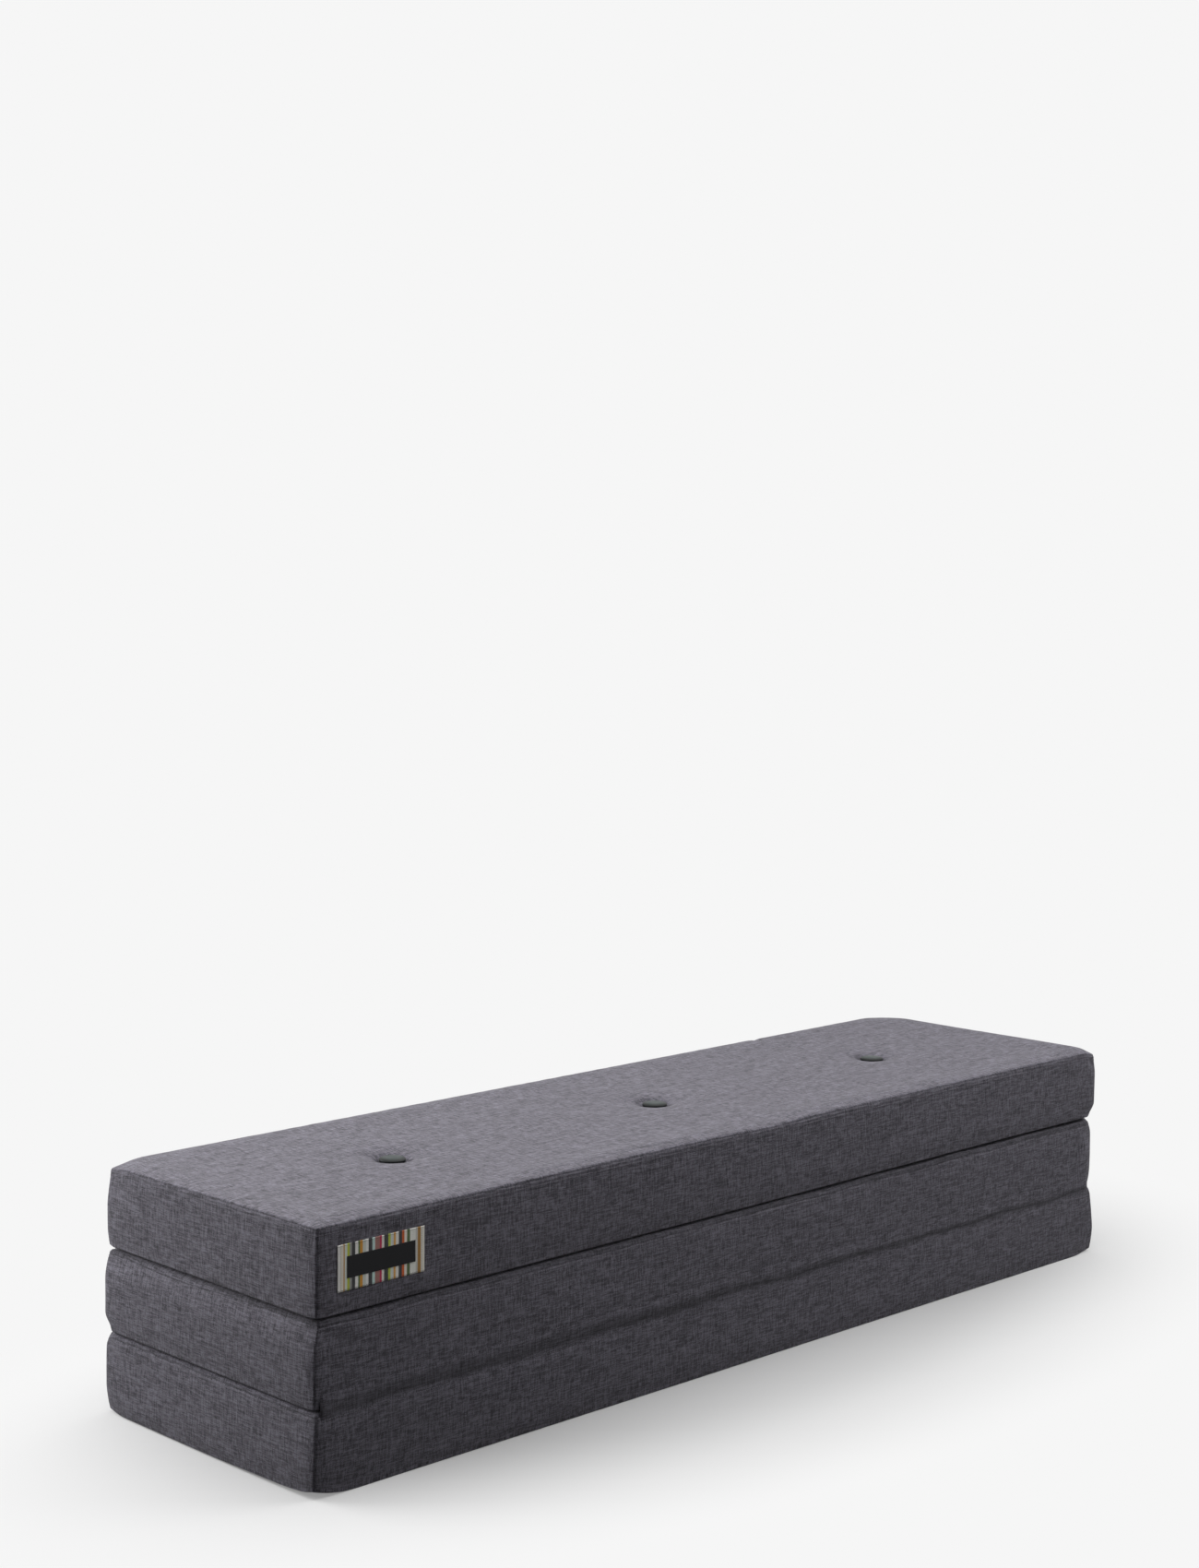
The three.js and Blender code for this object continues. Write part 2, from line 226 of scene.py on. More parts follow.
def sheetFaces(across, up, flipped=False):
    # the faces of a grid of points, and where their corners lie on the cloth
    faces, cloth = [], []
    for i in range(len(across) - 1):
        for j in range(len(up) - 1):
            corners = [(i, j), (i + 1, j), (i + 1, j + 1), (i, j + 1)]
            corners = corners[::-1] if flipped else corners
            faces.append([a * len(up) + b for a, b in corners])
            cloth.extend([(across[a], up[b]) for a, b in corners])
    return faces, cloth


def addSheet(name, points, across, up, thickness, material, flipped=False, crease=None):
    # a thin sheet of cloth, from a grid of points in millimetres
    faces, cloth = sheetFaces(across, up, flipped)
    piece = meshObject(name, mm(points), faces)
    mapCloth(piece.data, cloth)
    # painted shade that darkens the cloth, from 0 to 1
    if crease is not None:
        addAttribute(piece.data, "crease", crease)
    shell = piece.modifiers.new("thickness", "SOLIDIFY")
    shell.thickness, shell.offset = thickness / 1000, -1
    bakeModifiers(piece)
    return finish(piece, material)


# Camera, at the photograph's place

cameraSettings = {
    "place": (-2.9558, -2.8502, 1.2683),
    "yaw": 0.7793,
    "pitch": 0.0605,
    "roll": 0.0098,
    "lens": 58.0088,
    "shift": -0.05,
}


def addCamera(settings):
    data = bpy.data.cameras.new("camera")
    data.lens = settings["lens"]
    data.shift_y = settings["shift"]
    camera = addObject("camera", data)
    yaw, pitch, roll = settings["yaw"], settings["pitch"], settings["roll"]
    ahead = Vector((math.sin(yaw) * math.cos(pitch), math.cos(yaw) * math.cos(pitch), -math.sin(pitch)))
    level = Vector((math.cos(yaw), -math.sin(yaw), 0))
    upright = level.cross(ahead)
    right = level * math.cos(roll) + upright * math.sin(roll)
    up = upright * math.cos(roll) - level * math.sin(roll)
    turn = Matrix((right, up, -ahead)).transposed().to_4x4()
    camera.matrix_world = Matrix.Translation(settings["place"]) @ turn
    scene.camera = camera


addCamera(cameraSettings)
print("camera placed")


# Materials

def newMaterial(name):
    material = bpy.data.materials.new(name)
    material.use_nodes = True
    tree = material.node_tree
    tree.nodes.clear()
    return material, tree


def addSurface(tree, colour, **values):
    # values are inputs of the shader, with _ for a space in a name
    inputs = {name.replace("_", " "): value for name, value in values.items()}
    shader = addNode(tree, "ShaderNodeBsdfPrincipled", {"Base Color": colour, **inputs})
    addNode(tree, "ShaderNodeOutputMaterial", {"Surface": shader.outputs[0]})


usualNoise = (0.3, 0.7)  # the values that a noise seldom leaves

# Melange polyester linen in plain weave: dark and pale fibres spun into each yarn, so that every
# thread changes tone along its length, with thicker slubs both ways, and a matt, hairy surface
linenSettings = {
    "pitch": 1.15,  # a real thread is about 0.6, which would not show
    "sway": (0.0014, 0.0014, 0),  # threads wander by this many metres
    "swayScale": 28,
    "threadStep": 5.37,  # how far apart in the noise two threads, and their two directions, are
    "toneStep": 9.5,
    "toneLength": 19,
    "toneRoughness": 0.65,
    "toneGain": 4.2,
    "slubStart": 3,
    "slubStep": 7.5,
    "slubWidth": 2.6,
    "slubLength": 28,
    "slubRoughness": 0.55,
    "slubTone": 0.95,
    "grain": 1.1,
    "grainTone": 0.7,
    "dark": "#39373d",
    "middle": "#5e5b64",
    "pale": "#7e7b86",
    "seamShade": 0.55,
    "threadBump": (0.35, 0.0004),  # strength, and height in metres
    "slubBump": (0.3, 0.0012),
}


def linenCloth(name, settings):
    material, tree = newMaterial(name)
    uv = clothMap(tree)
    sway = addNode(tree, "ShaderNodeTexNoise", {"Vector": uv, "Scale": settings["swayScale"], "Detail": 1})
    swayed = addNode(tree, "ShaderNodeVectorMath", {0: sway.outputs["Color"], 1: settings["sway"], 2: uv},
                     operation="MULTIPLY_ADD")
    inMillimetres = scaled(tree, swayed.outputs[0], 1000)
    u, v = splitPlace(tree, inMillimetres)

    threads = []
    for number, (over, along) in enumerate(((u, v), (v, u))):
        thread = calculate(tree, "DIVIDE", over, settings["pitch"])
        count, share = calculate(tree, "FLOOR", thread), calculate(tree, "FRACT", thread)
        ridge = calculate(tree, "SINE", calculate(tree, "MULTIPLY", share, math.pi))
        apart = calculate(tree, "MULTIPLY", count, settings["threadStep"])
        length = calculate(tree, "DIVIDE", along, settings["toneLength"])
        spot = combined(tree, apart, length, number * settings["toneStep"])
        tone = noise(tree, spot, 1, 2, settings["toneRoughness"])
        wide = calculate(tree, "DIVIDE", over, settings["slubWidth"])
        long = calculate(tree, "DIVIDE", along, settings["slubLength"])
        spot = combined(tree, wide, long, settings["slubStart"] + number * settings["slubStep"])
        slub = noise(tree, spot, 1, 1.5, settings["slubRoughness"])
        threads.append((tone, slub, ridge, count))
    tones, slubs, ridges, counts = zip(*threads)

    # warp and weft lie on top by turns
    both = calculate(tree, "ADD", *counts)
    parity = calculate(tree, "FRACT", calculate(tree, "MULTIPLY", both, 0.5))
    onTop = calculate(tree, "GREATER_THAN", parity, 0.25)
    tone = addNode(tree, "ShaderNodeMix", {"Factor": onTop, 2: tones[0], 3: tones[1]}).outputs[0]
    ridge = addNode(tree, "ShaderNodeMix", {"Factor": onTop, 2: ridges[0], 3: ridges[1]}).outputs[0]
    slub = calculate(tree, "ADD", *slubs)
    grain = noise(tree, scaled(tree, inMillimetres, 1 / settings["grain"]), 1, 1)
    slubTone = calculate(tree, "MULTIPLY_ADD", slub, settings["slubTone"], -settings["slubTone"])
    grainTone = calculate(tree, "MULTIPLY_ADD", grain, settings["grainTone"], slubTone)
    offset = calculate(tree, "ADD", grainTone, 0.5 - 0.5 * settings["toneGain"] - 0.5 * settings["grainTone"])
    mixedTone = calculate(tree, "MULTIPLY_ADD", tone, settings["toneGain"], offset)
    ramp = addNode(tree, "ShaderNodeValToRGB", {"Fac": mixedTone})
    stops = ramp.color_ramp.elements
    stops[0].position, stops[0].color = 0.1, paint(settings["dark"])
    stops[1].position, stops[1].color = 0.9, paint(settings["pale"])
    stops.new(0.5).color = paint(settings["middle"])

    # the attribute below runs from 0 to 1 in seams, folds, on the middle cushion's upper edge and where
    # covers lie on each other, and darkens the colour there as painted shade
    shade = mapped(tree, attributeOf(tree, "crease"), (0, 1), (1, settings["seamShade"]))
    threadBump = bumped(tree, ridge, *settings["threadBump"])
    addSurface(tree, scaled(tree, ramp.outputs["Color"], shade), Roughness=0.92, Sheen_Weight=0.12,
               Sheen_Roughness=0.5, Specular_IOR_Level=0.25,
               Normal=bumped(tree, slub, *settings["slubBump"], Normal=threadBump))
    return material


# Satin moulded nylon, cool grey-green, with a soft broad gloss; on a button the colour is darkened towards
# the rim as painted shade
buttonNylon = {"colour": "#2f3736", "grit": 0.5, "roughness": 0.42}
discNylon = {"colour": "#3d3c41", "grit": 0.4, "roughness": 0.5}
coilNylon = {"colour": "#2c2b30", "grit": 0.3, "roughness": 0.4}
rimShade = 0.16


def satinNylon(name, settings):
    material, tree = newMaterial(name)
    place = objectPlace(tree)
    grain = noise(tree, place, 1000 / settings["grit"], 2)
    cloud = noise(tree, place, 90, 3)
    colour = scaled(tree, paint(settings["colour"])[:3], mapped(tree, cloud, usualNoise, (0.9, 1.1)))
    # the attribute rim runs from 0 to 1 towards a button's edge, and darkens the colour there as painted
    # shade from the cloth that rises round it
    colour = scaled(tree, colour, mapped(tree, attributeOf(tree, "rim"), (0, 1), (1, rimShade)))
    roughness = settings["roughness"]
    addSurface(tree, colour, Roughness=mapped(tree, cloud, usualNoise, (roughness - 0.06, roughness + 0.06)),
               Normal=bumped(tree, grain, 0.12, 0.0002), IOR=1.5, Specular_IOR_Level=0.16)
    return material


linen = linenCloth("melangeLinenWeave", linenSettings)
nylonButton = satinNylon("satinNylonButton", buttonNylon)
nylonDisc = satinNylon("mouldedNylonDisc", discNylon)
print("materials made")


# Cushions: one closed tufted form for each section, foam and sewn cover together

cushionShape = {
    "cornerRadius": 6.5,
    "leastRadius": 3.5,
    "upperEdge": 3,
    "lowerEdgeIn": 1.1,
    "lowerEdgeUp": 2.4,
    "ringsBelowZip": [20, 28, 38, 45.5],
    "ringsAboveZip": [77.5, 86, 95, 102, 107, 110, 112.6, 114.8, 116],
    "crown": -4.5,  # the tufts draw the middle of the open face below its solid
    "dropReach": 28,
    "dropFade": 34,
    "edgeDraw": 0.7,  # the edges stand behind the middle of each wall
    "drawCurve": 2.4,
    "sideDraw": 2,  # and the middle of each long side behind its ends
    "crownReach": 130,
    "riseReach": 34,
    "riseCurve": 2.6,
    "cornerCurve": 1.15,
    "hem": 18,
    "hemStep": 1.4,  # spacing of the grid
    "edgeStations": (24, 33),
    "innerStart": 46,
    "longGap": 17,
    "tuftGap": 5.2,
    "tuftReach": 48,
    "tuftFade": 60,
    "zipStep": 1.1,
    "chainStep": 5,
    "clothStarts": (5000, 9000, 13000, 20000),
    "flatten": 0.1,  # air under a face that something rests on
}
swell = {
    "start": 1.2,  # the simulation starts from a form this much smaller
    "cap": 1.4,
    "faceCap": 1.2,
    "frames": 14,
    "pressure": 1.6,
    "quality": 4,
    "mass": 0.25,
    "tension": 12,
    "shear": 6,
    "bending": 0.6,
}
tufts = {
    "spacing": 560,
    "buttonRadius": 20.5,
    "buttonThickness": 9,
    "buttonSink": 6,
    "buttonRim": 5.4,
    "seatRadius": 20.8,
    "seatGap": 0.4,
    "mouth": 33,
    "outerMouth": 64,
    "outerShare": 0.3,
    "anchorRadius": 13,
    "anchorThickness": 3,
    "anchorSink": 1,
    "anchorSeat": 13.3,
    "anchorDepth": 4.3,
    "anchorMouth": 25,
}
seams = {
    "depth": 1.1,
    "width": 1.1,
    "ridge": 0.45,
    "ridgeWidth": 8,
    "stitchDrop": 6,
    "tapeHalf": 11,
}
# setBack is how far the front wall stands behind its plane. The upper edge hangs below the face by
# edgeDrop, along the long sides and at the ends, by endSag more in the middle of the left end and by
# frontRise less at the right of the front. Each corner is rounder than its edges by so much along
# x, y and z, within the reach that stands last
sections = [
    {"name": "bottom", "buttonsUp": True, "rise": 0, "seamDrop": 7, "setBack": 1.6, "seed": 11,
     "edgeDrop": (0.5, 2.5), "endSag": 0, "frontRise": 0,
     "corners": [(2, 2, 2.5, 30), (2.5, 4, 6.5, 48), (3, 4, 6, 40), (7, 7, 7, 26),
                 (1, 1, 1.5, 14), (2, 1, 2, 18), (4, 4, 8, 22), (5, 5, 6, 24)]},
    {"name": "middle", "buttonsUp": False, "rise": 0, "seamDrop": 7, "setBack": 0.6, "seed": 23,
     "edgeDrop": (3.6, 2), "endSag": 5, "frontRise": 2.2,
     "corners": [(1.5, 1, 2, 16), (3, 1, 3, 20), (7, 6, 7, 22), (7, 7, 7, 24),
                 (2, 2, 3, 24), (9, 4, 7, 24), (3, 1, 3, 24), (4, 1, 3, 24)]},
    {"name": "top", "buttonsUp": True, "rise": 4, "seamDrop": 3.7, "setBack": 0, "seed": 37,
     "edgeDrop": (0, 0), "endSag": 0, "frontRise": 0,
     "corners": [(1, 1, 1, 14), (10, 4, 8, 24), (2, 1, 3, 20), (5, 1, 4, 24),
                 (1, 1, 1, 16), (2, 3, 8, 38), (4, 4, 8, 60), (7, 7, 6, 60)]},
]
cornerSigns = [(x, y, z) for z in (-1, 1) for y in (-1, 1) for x in (-1, 1)]  # in the order of corners
tuftPlaces = [(at - 1) * tufts["spacing"] for at in range(3)]


def measureSection(section):
    name = section["name"]
    left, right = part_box(f"{name}_left_end")[0].x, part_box(f"{name}_right_end_upper")[1].x
    front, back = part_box(f"{name}_front_side")[0].y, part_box(f"{name}_back_side")[1].y
    low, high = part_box(f"{name}_lower_panel")[0].z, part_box(f"{name}_upper_panel")[1].z
    section["middle"] = np.array([(left + right) / 2, (front + back) / 2, low]) * 1000
    section["halfLength"] = (right - left) * 500
    section["halfWidth"] = (back - front) * 500
    section["height"] = (high - low) * 1000 - section["rise"]


def spread(low, high, gapAt):
    # places from low to high whose gaps follow gapAt
    places = [low]
    while places[-1] < high:
        places.append(places[-1] + gapAt(places[-1]))
    places = np.array(places)
    return low + (places - low) * (high - low) / (places[-1] - low)


def stationsAlong(half, spots):
    shape = cushionShape
    corner, hem, step = shape["cornerRadius"], shape["hem"], shape["hemStep"]
    edge = [0, corner / 2, corner, hem - step, hem, hem + step, *shape["edgeStations"]]

    def gapAt(place):
        away = min(abs(place - spot) for spot in spots)
        share = float(smooth((away - shape["tuftReach"]) / shape["tuftFade"]))
        return shape["tuftGap"] + (shape["longGap"] - shape["tuftGap"]) * share

    inner = spread(shape["innerStart"] - half, half - shape["innerStart"], gapAt)
    return np.array([*(-half + e for e in edge), *inner, *(half - e for e in reversed(edge))])


def levelsOf(section):
    # each ring's inset from the outermost plane, its height, and its distance up the cloth
    shape = cushionShape
    height, draw = section["height"], shape["edgeDraw"]
    inward, up, edge = shape["lowerEdgeIn"], shape["lowerEdgeUp"], shape["upperEdge"]
    rings = []
    for angle in np.radians([0, 30, 60]):
        rings.append((draw + inward * (1 - math.sin(angle)), up * (1 - math.cos(angle))))
    half, tape, step, chain = height / 2, seams["tapeHalf"], shape["zipStep"], shape["chainStep"]
    atZip = [tape + step, tape, tape - step, chain]
    walls = [up, *shape["ringsBelowZip"], *(half - z for z in atZip), half,
             *(half + z for z in reversed(atZip)), *shape["ringsAboveZip"]]
    for z in walls:
        share = (z - up) / (height - edge - up)
        rings.append((draw * abs(2 * share - 1) ** shape["drawCurve"], z))
    for angle in np.radians([0, 22.5, 45, 67.5, 90]):
        rings.append((draw + edge * (1 - math.cos(angle)), height - edge * (1 - math.sin(angle))))
    rings = np.array(rings)
    steps = np.hypot(*np.diff(rings, axis=0).T)
    return rings[:, 0], rings[:, 1], np.concatenate([[0], np.cumsum(steps)])


def settled(sharp, half, inset):
    # only the stations in a corner follow it inwards, so the long threads stay straight
    corner = cushionShape["cornerRadius"]
    radius = max(corner - inset, cushionShape["leastRadius"])
    fromEnd = half - np.abs(sharp)
    inside = half - inset - fromEnd * radius / corner
    return np.sign(sharp) * np.where(fromEnd <= corner, inside, np.abs(sharp))


def roundCorner(x, y, section, inset):
    radius = max(cushionShape["cornerRadius"] - inset, cushionShape["leastRadius"])
    insideX, insideY = section["halfLength"] - inset - radius, section["halfWidth"] - inset - radius
    keptX, keptY = np.clip(x, -insideX, insideX), np.clip(y, -insideY, insideY)
    awayX, awayY = x - keptX, y - keptY
    far = np.maximum(np.hypot(awayX, awayY), 1e-9)
    return keptX + awayX * radius / far, keptY + awayY * radius / far


def dimpleDepth(x, y, seat, mouth, depth):
    # a steep funnel inside a wide shallow one
    total = 0
    for place in tuftPlaces:
        away = np.hypot(x - place, y) - seat
        steep = 1 - smooth(away / (mouth - seat))
        wide = 1 - smooth(away / (tufts["outerMouth"] - seat))
        total = total + depth * (steep + tufts["outerShare"] * (wide - steep))
    return total


def edgeDrop(section, x, y):
    # how far the upper edge sags at a place of the rim
    along, across = section["edgeDrop"]
    onEnd = section["halfLength"] - np.abs(x) < section["halfWidth"] - np.abs(y)
    drop = np.where(onEnd, across, along) * (1 + 0.35 * ripple(section["seed"] + 9, 70, x, y))
    drop += section["endSag"] * hump(y - 60, 120) * onEnd * (x < 0)
    return drop - section["frontRise"] * smooth((x + 200) / 900) * ~onEnd * (y < 0)


def cushionGrid(section):
    # points in millimetres about the section's middle, faces, cloth map, and each point's place on
    # the sharp box
    shape = cushionShape
    halfLength, halfWidth = section["halfLength"], section["halfWidth"]
    xs = stationsAlong(halfLength, tuftPlaces)
    ys = stationsAlong(halfWidth, [0])
    nx, ny = len(xs) - 1, len(ys) - 1
    insets, heights, climbs = levelsOf(section)
    ringX = np.concatenate([xs[:-1], np.full(ny, halfLength), xs[:0:-1], np.full(ny, -halfLength)])
    ringY = np.concatenate([np.full(nx, -halfWidth), ys[:-1], np.full(nx, halfWidth), ys[:0:-1]])
    count = len(ringX)

    points, places = [], []
    for inset, z, climb in zip(insets, heights, climbs):
        x, y = settled(ringX, halfLength, inset), settled(ringY, halfWidth, inset)
        x, y = roundCorner(x, y, section, inset)
        y = y - np.sign(y) * shape["sideDraw"] * (1 - (x / halfLength) ** 2)
        points.append(np.stack([x, y, np.full(count, z)], 1))
        places.append(np.stack([ringX, ringY, np.full(count, climb)], 1))
    gridX, gridY = np.meshgrid(xs[1:-1], ys[1:-1], indexing="ij")
    for side, level in ((-1, 0), (1, -1)):
        inset, z, climb = insets[level], heights[level], climbs[level]
        x = settled(gridX, halfLength, inset)
        y = settled(gridY, halfWidth, inset)
        y = y * (1 - shape["sideDraw"] * (1 - (x / halfLength) ** 2) / (halfWidth - inset))
        fromEdge = np.minimum(halfLength - np.abs(gridX), halfWidth - np.abs(gridY))
        points.append(np.stack([x, y, np.full(x.shape, z)], 2).reshape(-1, 3))
        places.append(np.stack([gridX, gridY, climb + side * fromEdge], 2).reshape(-1, 3))
    points, places = np.concatenate(points), np.concatenate(places)

    faces, cloth = [], []
    levels = len(insets)
    seamClimb = np.interp(section["height"] - section["seamDrop"], heights, climbs)
    section["seamClimb"], section["topClimb"] = seamClimb, climbs[-1]
    # the four walls and the underside lie well apart on the cloth
    second, third, fourth, under = shape["clothStarts"]
    along = np.concatenate([xs[:-1], ys[:-1] + second, third - xs[:0:-1], fourth - ys[:0:-1]])
    ends = np.concatenate([xs[1:], ys[1:] + second, third - xs[-2::-1], fourth - ys[-2::-1]])
    outward = np.repeat([(0, -1), (1, 0), (0, 1), (-1, 0)], [nx, ny, nx, ny], axis=0)
    for level in range(levels - 1):
        low, high = climbs[level], climbs[level + 1]
        for at in range(count):
            after = (at + 1) % count
            corners = [(level, at), (level, after), (level + 1, after), (level + 1, at)]
            faces.append([k * count + p for k, p in corners])
            if low < seamClimb - 0.01:
                cloth.extend([(along[at], low), (ends[at], low), (ends[at], high), (along[at], high)])
                continue
            turnX, turnY = outward[at]
            for k, p in corners:
                past = climbs[-1] - climbs[k]
                cloth.append((ringX[p] + turnX * past, ringY[p] + turnY * past))

    def capIndex(i, j, top):
        ring = (levels - 1) * count if top else 0
        if j == 0:
            return ring + i
        if i == nx:
            return ring + nx + j
        if j == ny:
            return ring + 2 * nx + ny - i
        if i == 0:
            return ring + (2 * nx + 2 * ny - j) % count
        return levels * count + (top * (nx - 1) * (ny - 1)) + (i - 1) * (ny - 1) + j - 1

    for top in (0, 1):
        for i in range(nx):
            for j in range(ny):
                corners = [(i, j), (i + 1, j), (i + 1, j + 1), (i, j + 1)]
                corners = corners if top else corners[::-1]
                faces.append([capIndex(a, b, top) for a, b in corners])
                cloth.extend([(xs[a] + under * (1 - top), ys[b]) for a, b in corners])
    return points, faces, np.array(cloth), places


def formCushion(section, points, places):
    # crown, tufts and softened corners, before the simulation
    shape = cushionShape
    halfLength, halfWidth, height = section["halfLength"], section["halfWidth"], section["height"]
    rise, topClimb = section["rise"], section["topClimb"]
    x, y, z = points.T.copy()
    # 1 on the upper or lower face and 0 below its edge
    upper = smooth((z - height / 2) / (height / 2 - 0.01) * 40 - 39)
    lower = smooth((height / 2 - z) / (height / 2 - 0.01) * 40 - 39)
    crown = shape["crown"] if rise else 0
    sharpX, sharpY, climb = places.T
    if rise:
        for lift, reach in ((rise, shape["riseReach"]), (crown, shape["crownReach"])):
            toEnd, toSide = (1 - (1 - np.clip((half - 3 - np.abs(p)) / reach, 0, 1)) ** shape["riseCurve"]
                             for half, p in ((halfLength, x), (halfWidth, y)))
            z = z + upper * lift * toEnd * toSide
    else:
        fade = np.where(climb > topClimb, 1 - smooth((climb - topClimb) / shape["dropReach"]),
                        smooth((z - height + shape["dropFade"]) / shape["dropFade"]))
        z = z - edgeDrop(section, sharpX, sharpY) * fade
    seatDepth = tufts["buttonSink"] + tufts["buttonThickness"] + tufts["seatGap"] + crown
    button = dimpleDepth(x, y, tufts["seatRadius"], tufts["mouth"], seatDepth)
    anchor = dimpleDepth(x, y, tufts["anchorSeat"], tufts["anchorMouth"], tufts["anchorDepth"])
    if section["buttonsUp"]:
        z = z - upper * button + lower * anchor
    else:
        z = z + lower * button - upper * anchor
    # a sewn corner is rounder than the edges that meet in it
    straight = np.stack([x, y, z], 1)
    formed = straight.copy()
    for signs, (*pulls, reach) in zip(np.array(cornerSigns), section["corners"]):
        corner = signs * (halfLength, halfWidth, height / 2) + (0, 0, height / 2)
        away = np.linalg.norm(straight - corner, axis=1)
        formed -= signs * pulls * np.clip(1 - away / reach, 0, 1)[:, None] ** shape["cornerCurve"]
    return formed


def swellCushion(section, piece, pinned, caps):
    # the cover is a cloth held at its seams and tufts, and the foam pushes it out
    start = pointsOf(piece.data)
    piece.data.update()
    normals = np.array([v.normal for v in piece.data.vertices])
    movePoints(piece.data, start - normals * mm(swell["start"]) * (1 - pinned)[:, None])
    held = piece.vertex_groups.new(name="held")
    for weight in np.unique(pinned.round(2)):
        held.add(np.nonzero(pinned.round(2) == weight)[0].tolist(), float(weight), "REPLACE")
    cloth = piece.modifiers.new("swell", "CLOTH")
    settings = cloth.settings
    settings.quality, settings.mass = swell["quality"], swell["mass"]
    settings.tension_stiffness = settings.compression_stiffness = swell["tension"]
    settings.shear_stiffness, settings.bending_stiffness = swell["shear"], swell["bending"]
    settings.use_pressure = True
    settings.uniform_pressure_force = swell["pressure"]
    settings.vertex_group_mass = "held"
    settings.effector_weights.gravity = 0
    cloth.collision_settings.use_collision = False
    cloth.point_cache.frame_start, cloth.point_cache.frame_end = 1, swell["frames"]
    for number in range(1, swell["frames"] + 1):
        scene.frame_set(number)
    bakeModifiers(piece)
    piece.vertex_groups.clear()
    moved = pointsOf(piece.data) - start
    length = np.linalg.norm(moved, axis=1)
    kept = caps * np.tanh(length / caps) / np.maximum(length, 1e-9)
    movePoints(piece.data, start + moved * kept[:, None])
    scene.frame_set(1)
    print(f"{section['name']} cushion swelled by up to {length.max() * 1000:.1f} mm")


dressing = {
    "hiddenRelief": 0.5,  # the seams of a face that another section lies on are half as deep
    "stitchDepth": 0.35,
    "pucker": 0.3,
    "uprightDepth": 0.4,
    "uprightShade": 0.24,
    "sideRidge": 0.25,
    "sideShade": 0.2,
    "hemDepth": 0.8,
    "slotDepth": 1.5,
    "slotLip": 0.35,
    "wallSlack": (0.55, 0.2),  # coarse and fine waves of cloth that lies slack over the foam
    "faceSlack": (0.5, 0.12),
}
folds = {
    "longTurn": math.radians(128),  # the deep narrow fold out of each tuft
    "longWidth": 2.2,
    "longDepth": 1.2,
    "count": 6,  # the soft ones beside it, by least and most
    "width": (3.5, 6),
    "depth": (0.15, 0.45),
    "shade": 0.35,
    "start": 17,  # from the middle of the tuft, and over how far they fade in and out
    "startFade": 6,
    "end": 34,
    "endFade": 20,
    "halfAngle": 1.2,
    "ringed": 0.12,
}
# what dims the cloth under the lip of the middle section, and where two covers lie on each other
shades = {"lip": 0.4, "lipEdge": 0.6, "stacked": 0.9}
# where each section has a hinge: the side of y, and whether it is at the top
hingeSides = {"bottom": [(-1, True)], "middle": [(-1, False), (1, True)], "top": [(1, False)]}
hingeDraw = {"below": 3.4, "above": 3.6, "aboveReach": 13, "end": 7, "endReach": 28}
# how far each cushion leaves the straight form, at the ends and corners that the photograph shows
bends = {
    "bottom": {"rightOut": 6, "rimUp": 1.6, "rimReach": 9, "cornerUp": 6, "cornerReach": 85, "endUp": 3.5,
               "footIn": 4.5, "frontOut": 1},
    "middle": {"cornerIn": 8, "cornerReach": 34, "lipOut": 0.9, "endOut": 2.5, "endLean": 6},
    "top": {"rimUp": 2.6, "dip": 1.2, "dipReach": 95, "notch": 1.8, "notchPlace": 517, "notchReach": 10,
            "footUp": 0.8, "footRise": 3.5, "endIn": 2},
}


